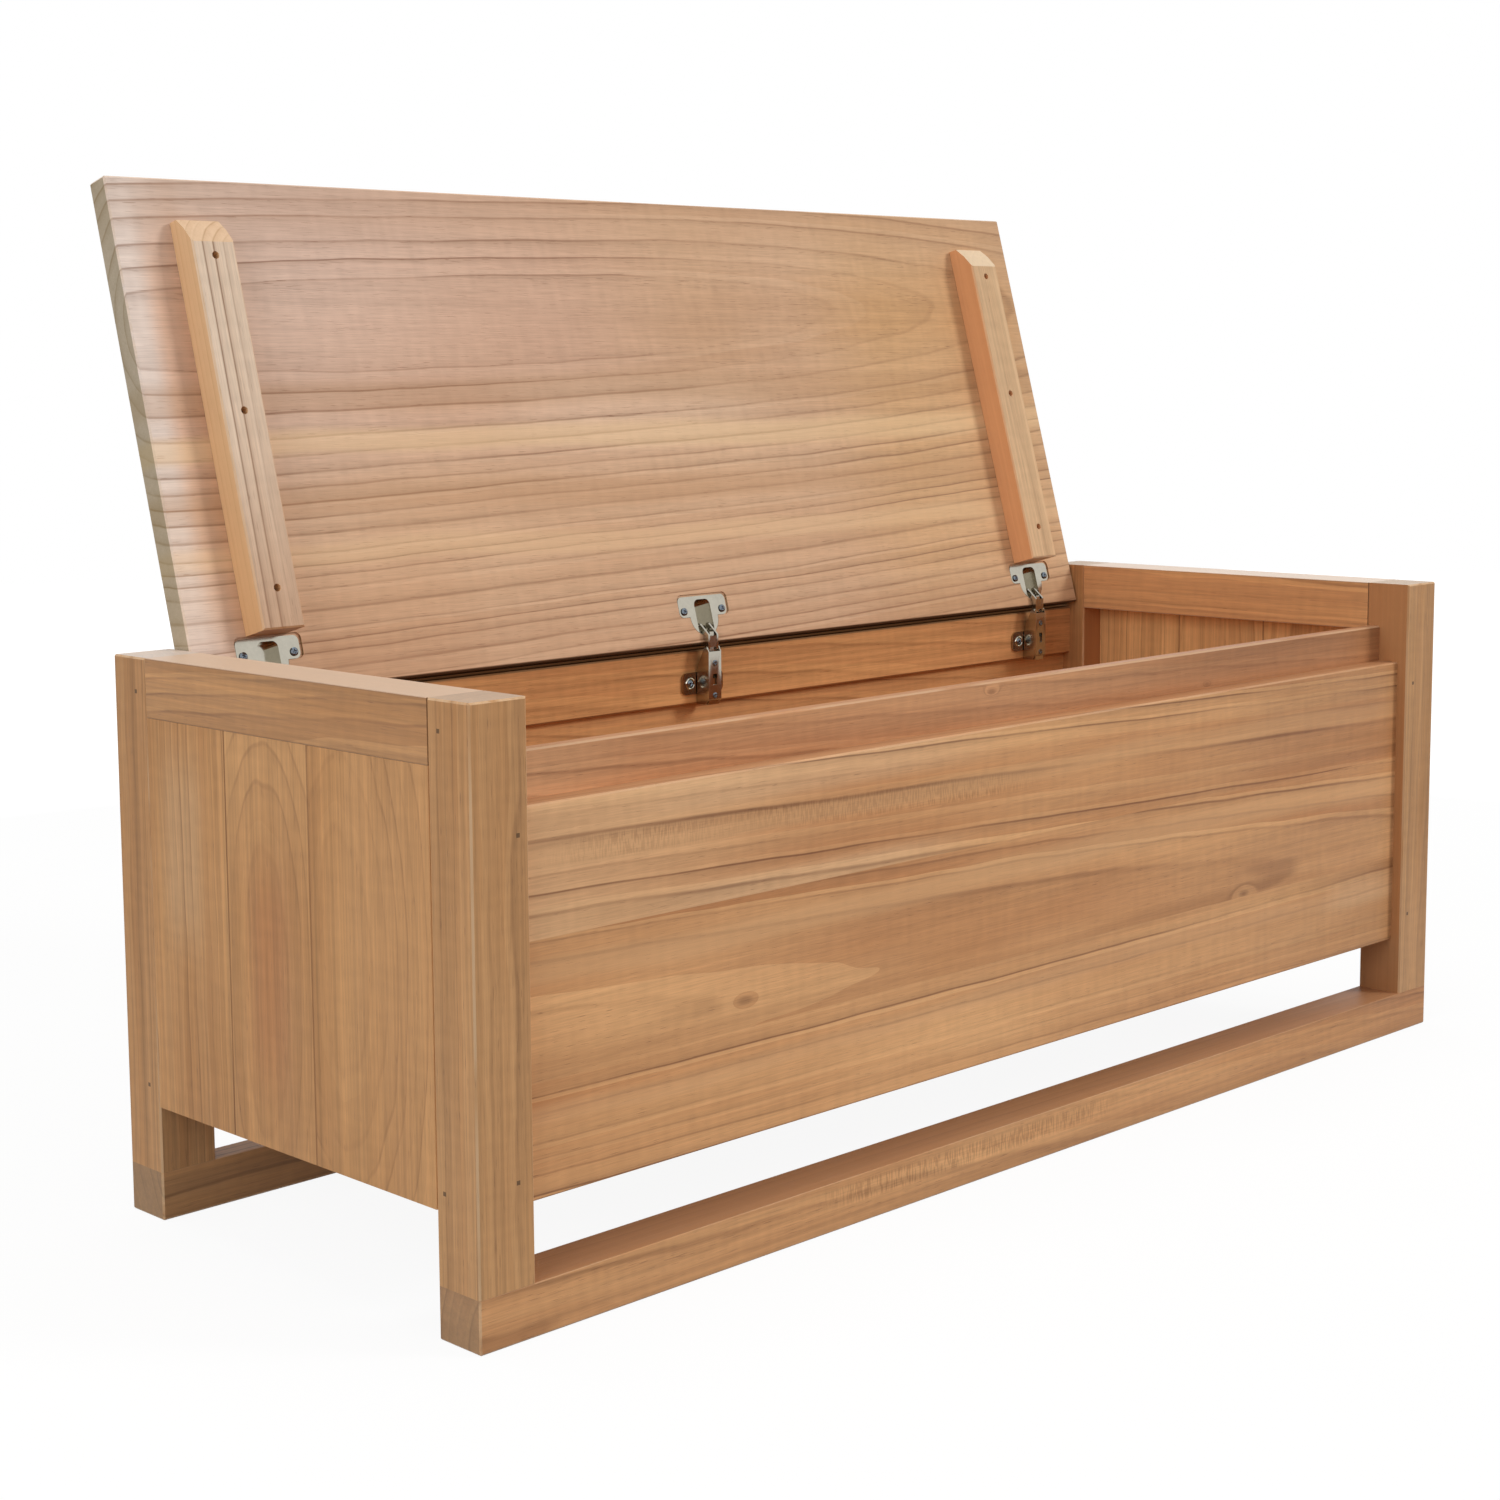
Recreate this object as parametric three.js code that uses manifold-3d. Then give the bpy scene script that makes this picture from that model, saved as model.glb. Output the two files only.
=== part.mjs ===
// A wooden blanket chest with a hinged lid, in millimetres.
// +X runs along the chest to the right, +Y to its back and +Z up. The origin is on the floor,
// under the middle of the space that the chest takes with its lid standing open.
import * as THREE from "three";
import { mergeVertices } from "three/addons/utils/BufferGeometryUtils.js";
import Module from "manifold-3d";

const wasm = await Module();
wasm.setup();

// Overall frame
const chestLength = 1200;
const chestDepth = 425;
const chestHeight = 435;
const postWidth = 49;
const postDepth = 43.5;
const bottomRailHeight = 38;
const backRailWaist = 24;
const endRailHeight = 45;
const footGap = 52;

// Panels and the rails that the lid closes on
const endPanelThickness = 20;
const endSeamShares = [0.4, 0.7];
const frontPanelInset = 10;
const frontPanelThickness = 20;
const frontSeamShares = [0.3, 0.66];
const backPanelThickness = 12;
const backPanelSetback = 8;
const lidRailThickness = 12;
const lidRailHeight = 64;
const lidRailRise = 33.7;
const backRailThickness = 25.5;
const backRailHeight = 49;
const backRailDrop = 4.2;
const floorThickness = 10;
const cleatThickness = 15;
const cleatHeight = 15;

// Joinery
const tenonLength = 20;
const postTenonShare = 0.5;
const railTenonShare = 0.4;
const thinTenonShare = 0.5;
const tongueThickness = 7;
const tongueLength = 8;
const jointGap = 0.3;
const arris = 1.4;
const jointArris = 0.45;
const overrun = 5;

// Lid and its battens
const lidFrontInset = 7;
const lidThickness = 22;
const lidSideGap = 2;
const lidSeatGap = 0.3;
const lidRecess = 18.5;
const lidLean = THREE.MathUtils.degToRad(15.4);
const openCornerForward = 11;
const openCornerRise = 7.2;
const battenWidth = 39.5;
const battenThickness = 26;
const battenFrontSetback = 37.5;
const battenBackSetback = 46;
const battenEndSetback = 54.5;
const battenBevelLength = 22.5;
const battenBevelHeight = 16.5;
const battenNoseLengthShare = 0.42;
const battenNoseHeightShare = 0.5;
const battenScrewShares = [0.097, 0.523, 0.9];

// Wood screws
const battenScrewHead = 6;
const battenScrewHeadHeight = 3;
const battenScrewShank = 3;
const battenScrewBite = 14;
const battenCounterbore = 11;
const hingeScrewHead = 7;
const hingeScrewHeadHeight = 1.6;
const hingeScrewShank = 3.2;
const hingeScrewLength = 15;
const cupScrewBite = 12;
const screwSides = 10;

// Cup hinges
const hingeEndDistance = 122;
const cupDiameter = 35;
const cupDepth = 11.5;
const cupSetback = 24.5;
const mouthWidth = 20;
const mouthWall = 1.2;
const mouthCorner = 5.5;
const cupFloor = 1;
const flangeLength = 60;
const flangeWidth = 19;
const flangeThickness = 1.2;
const flangeCorner = 5;
const flangeBackSetback = 25;
const cupScrewSpacing = 48;
const cupScrewSetback = 30.5;
const recessExtraLength = 3;
const recessExtraWidth = 2;
const cupPivotSetback = 17;
const cupPivotDepth = 3;
const linkBow = 21;
const armWidth = 16;
const armWall = 1.2;
const armReach = 18;
const armBack = 2.6;
const armDrop = 49;
const armTaper = 5;
const noseRadius = 2.4;
const pinRadius = 1.1;
const pinClearance = 0.35;
const pinSeat = 0.9;
const rivetRadius = 1.9;
const rivetHeight = 0.5;
const slotDrop = 26;
const slotWidth = 5;
const slotLength = 10;
const cheekThickness = 2;
const cheekGap = 0.4;
const cheekRadius = 2.2;
const outerKneeRise = 12;
const webThickness = 1.1;
const webInset = 0.3;
const webRise = 1.5;
const innerLinkWidth = 5.2;
const innerLinkRadius = 1.1;
const innerKneeForward = 13;
const innerKneeDrop = 6;
const innerTopRise = 16.5;
const innerEyeWall = 0.9;
const innerPivotSetback = 12;
const innerPivotDepth = 4.5;
const innerPivotForward = 10;
const innerPivotDrop = 20;
const innerSlotForward = 1.4;
const innerSlotRun = 3.6;
const innerSlotPlay = 0.75;
const plateLength = 52;
const plateHeight = 20;
const plateDrop = 20;
const plateThickness = 1.8;
const plateCorner = 5;
const plateBlockHeight = 24;
const plateBlockGap = 0.4;
const plateScrewSpacing = 32;
const roundSides = 24;
const pinSides = 12;
const cornerSides = 3;

// Places that follow from the sizes above
const halfLength = chestLength / 2;
const innerHalf = halfLength - postWidth;
const backPostFront = chestDepth - postDepth;
const panelFoot = bottomRailHeight + footGap;
const endRailFoot = chestHeight - endRailHeight;
const frontPanelBack = frontPanelInset + frontPanelThickness;
const lidUnderside = chestHeight - lidRecess - lidThickness;
const lidRailTop = lidUnderside - lidSeatGap;
const frontPanelTop = lidRailTop - lidRailRise;
const railTop = lidRailTop - backRailDrop;
const railFoot = railTop - backRailHeight;
const railFace = chestDepth - backRailThickness;
const backPanelFront = railFace + backPanelSetback;
const floorUnderside = panelFoot + cleatHeight;
const halfLid = innerHalf - lidSideGap;
const lidWidth = chestDepth - lidFrontInset;
const battenLength = lidWidth - battenFrontSetback - battenBackSetback;
const hingeHalf = halfLength - hingeEndDistance;
const battenHalf = innerHalf - battenEndSetback - battenWidth / 2;
const openTurn = Math.PI / 2 + lidLean;
const outerLinkHalf = armWidth / 2 - armWall - cheekGap;

// A point of the lid: how far from its back edge, and how deep above its underside
function lidPoint(corner, turn, setback, depthIn) {
  const y = corner.y - setback * Math.cos(turn) + depthIn * Math.sin(turn);
  const z = corner.z + setback * Math.sin(turn) + depthIn * Math.cos(turn);
  return { y, z };
}

// The hinge linkage in the plane square to the chest's length. The cup's pivot goes from its place
// with the lid shut to its place with the lid open round the arm's pivot.
const shutCorner = { y: chestDepth, z: lidUnderside };
const openCorner = { y: railFace - openCornerForward, z: railTop + openCornerRise };
const shutPivot = lidPoint(shutCorner, 0, cupPivotSetback, cupPivotDepth);
const cupPivot = lidPoint(openCorner, openTurn, cupPivotSetback, cupPivotDepth);
const armPivot = bowedCentre(shutPivot, cupPivot, linkBow);
const innerPivot = { y: railFace - innerPivotForward, z: railTop - innerPivotDrop };
const innerCupPivot = lidPoint(openCorner, openTurn, innerPivotSetback, innerPivotDepth);

// The point at a given distance from the middle of two places, to the side of the line between them
function bowedCentre(from, to, bow) {
  const run = Math.hypot(to.y - from.y, to.z - from.z);
  return {
    y: (from.y + to.y) / 2 - (bow * (to.z - from.z)) / run,
    z: (from.z + to.z) / 2 + (bow * (to.y - from.y)) / run,
  };
}

// The room that the chest takes with its lid open, for the origin
const lidBackReach = lidPoint(openCorner, openTurn, lidWidth - arris, lidThickness).y;
const middleDepth = Math.max(chestDepth, lidBackReach) / 2;

// Materials
const paint = (color, roughness, metalness = 0) =>
  new THREE.MeshStandardMaterial({ color, roughness, metalness });
const frameWood = () => paint(0xb98a5e, 0.55);
const panelWood = () => paint(0xc2946a, 0.55);
const lidWood = () => paint(0xc9a07c, 0.55);
const innerWood = () => paint(0xb07f52, 0.6);
const nickel = () => paint(0xb9b8b2, 0.3, 1);
const screwSteel = () => paint(0x8f9096, 0.35, 1);

const chest = new THREE.Group();
chest.position.y = -middleDepth;
const lid = new THREE.Group();
lid.position.set(0, openCorner.y, openCorner.z);
lid.rotation.x = -openTurn;
chest.add(lid);

// A closed geometry as a solid that can be joined and cut
function solid(geometry) {
  const plain = geometry.index ? geometry.toNonIndexed() : geometry.clone();
  plain.deleteAttribute("normal");
  plain.deleteAttribute("uv");
  const merged = mergeVertices(plain);
  const vertProperties = merged.getAttribute("position").array;
  const triVerts = new Uint32Array(merged.index.array);
  return new wasm.Manifold(new wasm.Mesh({ numProp: 3, vertProperties, triVerts }));
}

// A finished piece, named and put in its group
function addPiece(group, name, shape, material) {
  const mesh = shape.getMesh();
  const geometry = new THREE.BufferGeometry();
  geometry.setAttribute("position", new THREE.BufferAttribute(mesh.vertProperties, 3));
  geometry.setIndex(new THREE.BufferAttribute(mesh.triVerts, 1));
  geometry.computeVertexNormals();
  const piece = new THREE.Mesh(geometry, material);
  piece.name = name;
  group.add(piece);
}

// Boxes are held as a low and a high value on each axis
const box = (x, y, z) => ({ x, y, z });
const mirrored = (side, near, far) => (side < 0 ? [-far, -near] : [near, far]);
const middle = ([low, high]) => (low + high) / 2;
const grow = ([low, high], by) => [low - by, high + by];
const grown = (b, by) => box(grow(b.x, by), grow(b.y, by), grow(b.z, by));
const sizeOf = ([low, high]) => high - low;

// The middle share of a span, as a tenon takes it from the rail's own thickness
function middleShare(span, share) {
  const half = (sizeOf(span) * share) / 2;
  return [middle(span) - half, middle(span) + half];
}

function block(b) {
  const geometry = new THREE.BoxGeometry(sizeOf(b.x), sizeOf(b.y), sizeOf(b.z));
  geometry.translate(middle(b.x), middle(b.y), middle(b.z));
  return solid(geometry);
}

// A board with some of its edges planed off. An edge is named by the axis it runs along and
// by the low (-) or high (+) side that it has on each of the other two axes.
function board(b, edges, cut = arris) {
  return planed(block(b), b, edges, cut);
}

function planed(shape, b, edges, cut) {
  const across = { x: ["y", "z"], y: ["x", "z"], z: ["x", "y"] };
  const width = cut * Math.SQRT2;
  for (const edge of edges) {
    const axis = edge[0];
    const run = sizeOf(b[axis]) + 2 * overrun;
    const sizes = { x: width, y: width, z: width, [axis]: run };
    const plane = new THREE.BoxGeometry(sizes.x, sizes.y, sizes.z);
    plane["rotate" + axis.toUpperCase()](Math.PI / 4);
    const place = { [axis]: middle(b[axis]) };
    across[axis].forEach((other, i) => {
      place[other] = b[other][edge[i + 1] === "+" ? 1 : 0];
    });
    plane.translate(place.x, place.y, place.z);
    shape = shape.subtract(solid(plane));
  }
  return shape;
}

const edgesAlong = (axis) => [axis + "--", axis + "-+", axis + "+-", axis + "++"];
const allEdges = ["x", "y", "z"].flatMap(edgesAlong);

// A round bar between two places along one axis
function bar(axis, radius, span, centre, sides) {
  const geometry = new THREE.CylinderGeometry(radius, radius, sizeOf(span), sides);
  if (axis === "x") geometry.rotateZ(Math.PI / 2);
  if (axis === "z") geometry.rotateX(Math.PI / 2);
  const place = { ...centre, [axis]: middle(span) };
  geometry.translate(place.x, place.y, place.z);
  return solid(geometry);
}

// A flat shape, given a thickness
function extruded(shape, depth, curveSegments) {
  return new THREE.ExtrudeGeometry(shape, { depth, bevelEnabled: false, curveSegments });
}

// A flat shape drawn with y and z, as thick as a span of x
function sectionPiece(shape, span) {
  const geometry = extruded(shape, sizeOf(span), pinSides);
  const y = new THREE.Vector3(0, 1, 0);
  const z = new THREE.Vector3(0, 0, 1);
  const x = new THREE.Vector3(1, 0, 0);
  geometry.applyMatrix4(new THREE.Matrix4().makeBasis(y, z, x));
  geometry.translate(span[0], 0, 0);
  return solid(geometry);
}

function outline(points) {
  return new THREE.Shape(points.map(([a, b]) => new THREE.Vector2(a, b)));
}

// A flat strip with round ends between two places in the plane of y and z
function strip(from, to, radius, span) {
  const run = Math.hypot(to.y - from.y, to.z - from.z);
  const geometry = new THREE.BoxGeometry(sizeOf(span), run, 2 * radius);
  geometry.rotateX(Math.atan2(to.z - from.z, to.y - from.y));
  geometry.translate(middle(span), (from.y + to.y) / 2, (from.z + to.z) / 2);
  const ends = [from, to].map((end) => bar("x", radius, span, end, pinSides));
  return solid(geometry).add(ends[0]).add(ends[1]);
}

// A plate with rounded corners, drawn round its own middle
function roundedShape(width, height, corner) {
  const x = width / 2 - corner;
  const y = height / 2 - corner;
  const shape = new THREE.Shape();
  shape.absarc(x, y, corner, 0, Math.PI / 2);
  shape.absarc(-x, y, corner, Math.PI / 2, Math.PI);
  shape.absarc(-x, -y, corner, Math.PI, 1.5 * Math.PI);
  shape.absarc(x, -y, corner, 1.5 * Math.PI, 2 * Math.PI);
  return shape;
}

// Tenons and tongues. Each is the box that stands out of one piece and runs back into it, and
// its neighbour is cut by the same box with the joint's gap added.
const endSpan = [postDepth, backPostFront];

const postX = (side) => mirrored(side, innerHalf, halfLength);
const postY = (back) => (back ? [backPostFront, chestDepth] : [0, postDepth]);

function postTenon(side, back) {
  const x = middleShare(postX(side), postTenonShare);
  const y = middleShare(postY(back), postTenonShare);
  return box(x, y, [bottomRailHeight - tenonLength, bottomRailHeight + overrun]);
}

function endRailTenon(side, back) {
  const x = middleShare(postX(side), railTenonShare);
  const z = middleShare([endRailFoot, chestHeight], railTenonShare);
  const front = [endSpan[0] - tenonLength, endSpan[0] + overrun];
  const rear = [endSpan[1] - overrun, endSpan[1] + tenonLength];
  return box(x, back ? rear : front, z);
}

function backRailTenon(side) {
  const x = mirrored(side, innerHalf - overrun, innerHalf + tenonLength);
  const y = middleShare([railFace, chestDepth], thinTenonShare);
  return box(x, y, middleShare([railFoot, railTop], railTenonShare));
}

function lidRailTenon(side) {
  const y = middleShare([frontPanelBack, frontPanelBack + lidRailThickness], thinTenonShare);
  const z = middleShare([lidRailTop - lidRailHeight, lidRailTop], thinTenonShare);
  return box(mirrored(side, innerHalf - overrun, innerHalf + tongueLength), y, z);
}

// The tongue that runs round a panel, in the middle of its thickness
const middleTongue = (span) => grow([middle(span), middle(span)], tongueThickness / 2);
const endPanelX = (side) => mirrored(side, halfLength - endPanelThickness, halfLength);
const frontPanelY = [frontPanelInset, frontPanelBack];
const backPanelY = [backPanelFront, backPanelFront + backPanelThickness];

function endPanelTongue(side) {
  const z = [panelFoot, endRailFoot + tongueLength];
  return box(middleTongue(endPanelX(side)), grow(endSpan, tongueLength), z);
}

function frontPanelTongue() {
  const x = grow([-innerHalf, innerHalf], tongueLength);
  return box(x, middleTongue(frontPanelY), [panelFoot, frontPanelTop]);
}

function backPanelTongue() {
  const x = grow([-innerHalf, innerHalf], tongueLength);
  return box(x, middleTongue(backPanelY), [panelFoot, railFoot + tongueLength]);
}

const sideName = (side) => (side < 0 ? "left" : "right");

// Posts stand on the ends of the two long bottom rails
function makePost(side, back) {
  const b = box(postX(side), postY(back), [bottomRailHeight, chestHeight]);
  let post = planed(block(b), b, edgesAlong("z"), arris);
  const top = side < 0 ? ["y-+"] : ["y++"];
  top.push(back ? "x++" : "x-+");
  post = planed(post, b, top, arris);
  post = post.add(block(postTenon(side, back)));
  const cuts = [endRailTenon(side, back), endPanelTongue(side)];
  if (back) cuts.push(backRailTenon(side), backPanelTongue());
  else cuts.push(frontPanelTongue(), lidRailTenon(side));
  for (const cut of cuts) post = post.subtract(block(grown(cut, jointGap)));
  addPiece(chest, (back ? "back_" : "front_") + sideName(side) + "_post", post, frameWood());
}

// Between its posts the back bottom rail is cut away behind, down to its waist
function backRailRebate() {
  const y = [backPostFront + backRailWaist, chestDepth + overrun];
  return box([-innerHalf, innerHalf], y, grow([0, bottomRailHeight], overrun));
}

function makeBottomRail(back) {
  const b = box([-halfLength, halfLength], postY(back), [0, bottomRailHeight]);
  const low = ["x--", "x+-", "y--", "y+-", ...edgesAlong("z")];
  let rail = planed(block(b), b, low, arris);
  rail = planed(rail, b, ["x-+", "x++"], jointArris);
  for (const side of [-1, 1]) {
    rail = rail.subtract(block(grown(postTenon(side, back), jointGap)));
  }
  if (back) rail = rail.subtract(block(backRailRebate()));
  addPiece(chest, back ? "back_bottom_rail" : "front_bottom_rail", rail, frameWood());
}

function makeEndRail(side) {
  const b = box(postX(side), endSpan, [endRailFoot, chestHeight]);
  let rail = planed(block(b), b, edgesAlong("y"), jointArris);
  for (const back of [false, true]) rail = rail.add(block(endRailTenon(side, back)));
  rail = rail.subtract(block(grown(endPanelTongue(side), jointGap)));
  addPiece(chest, sideName(side) + "_top_rail", rail, frameWood());
}

// Upright boards close each end, with a tongue on the outer edges and along the top
function makeEndBoards(side) {
  const marks = [0, ...endSeamShares, 1].map((share) => endSpan[0] + share * sizeOf(endSpan));
  const tongue = endPanelTongue(side);
  for (let i = 0; i + 1 < marks.length; i++) {
    const b = box(endPanelX(side), [marks[i], marks[i + 1]], [panelFoot, endRailFoot]);
    let piece = board(b, edgesAlong("z"), jointArris);
    const y = [...b.y];
    if (i === 0) y[0] = tongue.y[0];
    if (i + 2 === marks.length) y[1] = tongue.y[1];
    piece = piece.add(block(box(tongue.x, y, tongue.z)));
    addPiece(chest, sideName(side) + "_end_board_" + (i + 1), piece, panelWood());
  }
}

// Long boards make the front, glued edge to edge
function makeFrontBoards() {
  const z = [panelFoot, frontPanelTop];
  const marks = [0, ...frontSeamShares, 1].map((share) => z[0] + share * sizeOf(z));
  const tongue = frontPanelTongue();
  for (let i = 0; i + 1 < marks.length; i++) {
    const b = box([-innerHalf, innerHalf], frontPanelY, [marks[i], marks[i + 1]]);
    let piece = block(b);
    if (i === 0) piece = planed(piece, b, ["x--", "x+-"], arris);
    if (i + 2 === marks.length) piece = planed(piece, b, ["x-+"], arris);
    piece = piece.add(block(box(tongue.x, tongue.y, b.z)));
    addPiece(chest, "front_board_" + (i + 1), piece, panelWood());
  }
}

// The rail behind the front panel, which the lid comes down on
function makeLidRail() {
  const y = [frontPanelBack, frontPanelBack + lidRailThickness];
  const b = box([-innerHalf, innerHalf], y, [lidRailTop - lidRailHeight, lidRailTop]);
  let rail = board(b, ["x-+", "x++", "x+-"]);
  for (const side of [-1, 1]) rail = rail.add(block(lidRailTenon(side)));
  addPiece(chest, "front_lid_rail", rail, panelWood());
}

function makeBackRail() {
  const b = box([-innerHalf, innerHalf], [railFace, chestDepth], [railFoot, railTop]);
  let rail = board(b, edgesAlong("x"));
  for (const side of [-1, 1]) rail = rail.add(block(backRailTenon(side)));
  rail = rail.subtract(block(grown(backPanelTongue(), jointGap)));
  for (const centre of hingeCentres()) {
    for (const x of plateScrewPlaces(centre)) {
      const place = { x, z: plateMiddle() };
      const hole = hingeScrewShank / 2 + jointGap;
      const span = [railFace - overrun, railFace + hingeScrewLength + jointGap];
      rail = rail.subtract(bar("y", hole, span, place, screwSides));
    }
  }
  addPiece(chest, "back_top_rail", rail, innerWood());
}

function makeBackPanel() {
  const b = box([-innerHalf, innerHalf], backPanelY, [panelFoot, railFoot]);
  const panel = board(b, ["x--", "x+-"]).add(block(backPanelTongue()));
  addPiece(chest, "back_panel", panel, innerWood());
}

// The floor lies on two cleats, one along the front panel and one along the back, and is
// notched round the posts
function makeFloor() {
  const x = grow([-innerHalf, innerHalf], -jointGap);
  const y = [frontPanelBack + jointGap, backPanelFront - jointGap];
  const z = [floorUnderside, floorUnderside + floorThickness];
  const endFace = halfLength - endPanelThickness;
  const ends = box(grow([-endFace, endFace], -jointGap), grow(endSpan, -jointGap), z);
  addPiece(chest, "floor_panel", block(box(x, y, z)).add(block(ends)), innerWood());
  const cleats = {
    front_floor_cleat: [frontPanelBack, frontPanelBack + cleatThickness],
    back_floor_cleat: [backPanelFront - cleatThickness, backPanelFront],
  };
  for (const [name, cleatY] of Object.entries(cleats)) {
    const cleat = box(x, cleatY, [floorUnderside - cleatHeight, floorUnderside]);
    addPiece(chest, name, block(cleat), innerWood());
  }
}

// The lid is drawn closed: its own origin is on the back edge of its underside, so that
// its front lies at minus the lid's width.
function hingeCentres() {
  return [-hingeHalf, 0, hingeHalf];
}

function battenCentres() {
  return [-battenHalf, battenHalf];
}

function battenScrewPlaces() {
  return battenScrewShares.map((share) => -(battenBackSetback + share * battenLength));
}

function makeLid() {
  const b = box([-halfLid, halfLid], [-lidWidth, 0], [0, lidThickness]);
  let panel = board(b, allEdges);
  for (const centre of hingeCentres()) {
    const bore = [-overrun, cupDepth + jointGap];
    const middlePlace = { x: centre, y: -cupSetback };
    panel = panel.subtract(bar("z", cupDiameter / 2 + jointGap, bore, middlePlace, roundSides));
    panel = panel.subtract(flangeRecess(centre));
    for (const x of cupScrewPlaces(centre)) {
      const hole = [0, flangeThickness + cupScrewBite + jointGap];
      const place = { x, y: -cupScrewSetback };
      panel = panel.subtract(bar("z", hingeScrewShank / 2 + jointGap, hole, place, screwSides));
    }
  }
  for (const x of battenCentres()) {
    for (const y of battenScrewPlaces()) {
      const hole = [-overrun, battenScrewBite + jointGap];
      panel = panel.subtract(bar("z", battenScrewShank / 2 + jointGap, hole, { x, y }, screwSides));
    }
  }
  addPiece(lid, "lid_panel", panel, lidWood());
}

// The routed seat of a hinge's flange, a little longer to one side and to the front
function flangeRecess(centre) {
  const half = flangeLength / 2;
  const x = [centre - half - jointGap, centre + half + recessExtraLength];
  const front = -(flangeBackSetback + flangeWidth + recessExtraWidth);
  const y = [front, -flangeBackSetback + jointGap];
  const shape = roundedShape(sizeOf(x), sizeOf(y), flangeCorner);
  const geometry = extruded(shape, overrun + flangeThickness + jointGap, cornerSides);
  geometry.translate(middle(x), middle(y), -overrun);
  return solid(geometry);
}

// A batten under the lid, its front end bevelled, with three deep screw holes
function makeBatten(side) {
  const centre = side * battenHalf;
  const back = -battenBackSetback;
  const front = back - battenLength;
  const low = -battenThickness;
  const shape = outline([
    [back, -jointGap],
    [front, -jointGap],
    [front, low + battenBevelHeight],
    [
      front + battenBevelLength * battenNoseLengthShare,
      low + battenBevelHeight * battenNoseHeightShare,
    ],
    [front + battenBevelLength, low],
    [back, low],
  ]);
  const span = [centre - battenWidth / 2, centre + battenWidth / 2];
  let batten = sectionPiece(shape, span);
  const whole = box(span, [front, back], [low, -jointGap]);
  batten = planed(batten, whole, ["y--", "y+-", "x+-"], arris);
  const bore = battenScrewHead / 2 + jointGap;
  const hole = battenScrewShank / 2 + jointGap;
  const boreDepth = [low - overrun, low + battenCounterbore];
  for (const y of battenScrewPlaces()) {
    const place = { x: centre, y };
    batten = batten.subtract(bar("z", bore, boreDepth, place, screwSides));
    batten = batten.subtract(bar("z", hole, [low, overrun], place, screwSides));
  }
  addPiece(lid, sideName(side) + "_lid_batten", batten, frameWood());
}

function makeBattenScrews(side) {
  const seat = -battenThickness + battenCounterbore - jointGap;
  const head = { radius: battenScrewHead / 2, height: battenScrewHeadHeight };
  battenScrewPlaces().forEach((y, i) => {
    const place = { x: side * battenHalf, y };
    const piece = screw("z", head, seat, battenScrewShank / 2, battenScrewBite, place);
    addPiece(lid, sideName(side) + "_batten_screw_" + (i + 1), piece, screwSteel());
  });
}

// A screw along one axis, from the seat under its head to its tip
function screw(axis, head, seat, shank, tip, place) {
  const top = [seat - head.height, seat];
  const whole = bar(axis, head.radius, top, place, screwSides);
  return whole.add(bar(axis, shank, [middle(top), tip], place, screwSides));
}

// Hinges. Each has a cup and a flange in the lid, an arm on a plate on the back rail,
// and two links between them.
const cupScrewPlaces = (centre) => grow([centre, centre], cupScrewSpacing / 2);
const plateScrewPlaces = (centre) => grow([centre, centre], plateScrewSpacing / 2);
const plateMiddle = () => railTop - plateDrop - plateHeight / 2;
const hingeScrew = () => ({ radius: hingeScrewHead / 2, height: hingeScrewHeadHeight });

function makeCup(name, centre) {
  const middlePlace = { x: centre, y: -cupSetback };
  let cup = bar("z", cupDiameter / 2, [0, cupDepth], middlePlace, roundSides);
  const flangeMiddle = -(flangeBackSetback + flangeWidth / 2);
  const flangeShape = roundedShape(flangeLength, flangeWidth, flangeCorner);
  const flange = extruded(flangeShape, flangeThickness, cornerSides);
  flange.translate(centre, flangeMiddle, 0);
  cup = cup.add(solid(flange));
  const y = grow([-cupSetback, -cupSetback], cupDiameter / 2 - mouthWall);
  const mouthShape = roundedShape(mouthWidth, sizeOf(y), mouthCorner);
  const mouth = extruded(mouthShape, overrun + cupDepth - cupFloor, cornerSides);
  mouth.translate(centre, middle(y), -overrun);
  cup = cup.subtract(solid(mouth));
  for (const x of cupScrewPlaces(centre)) {
    const hole = hingeScrewShank / 2 + jointGap;
    const place = { x, y: -cupScrewSetback };
    cup = cup.subtract(bar("z", hole, [-overrun, flangeThickness + overrun], place, screwSides));
  }
  const wallEnd = mouthWidth / 2 + pinSeat;
  const outerPin = { y: -cupPivotSetback, z: cupPivotDepth };
  for (const side of [-1, 1]) {
    const span = mirrored(side, outerLinkHalf - cheekThickness, wallEnd).map((x) => centre + x);
    cup = cup.add(bar("x", pinRadius, span, outerPin, pinSides));
  }
  const innerPin = { y: -innerPivotSetback, z: innerPivotDepth };
  cup = cup.add(bar("x", pinRadius, grow([centre, centre], wallEnd), innerPin, pinSides));
  addPiece(lid, name, cup, nickel());
}

function makeCupScrews(name, centre) {
  cupScrewPlaces(centre).forEach((x, i) => {
    const place = { x, y: -cupScrewSetback };
    const shank = hingeScrewShank / 2;
    const piece = screw("z", hingeScrew(), -jointGap, shank, cupScrewBite, place);
    addPiece(lid, name + "_" + (i + 1), piece, screwSteel());
  });
}

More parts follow.
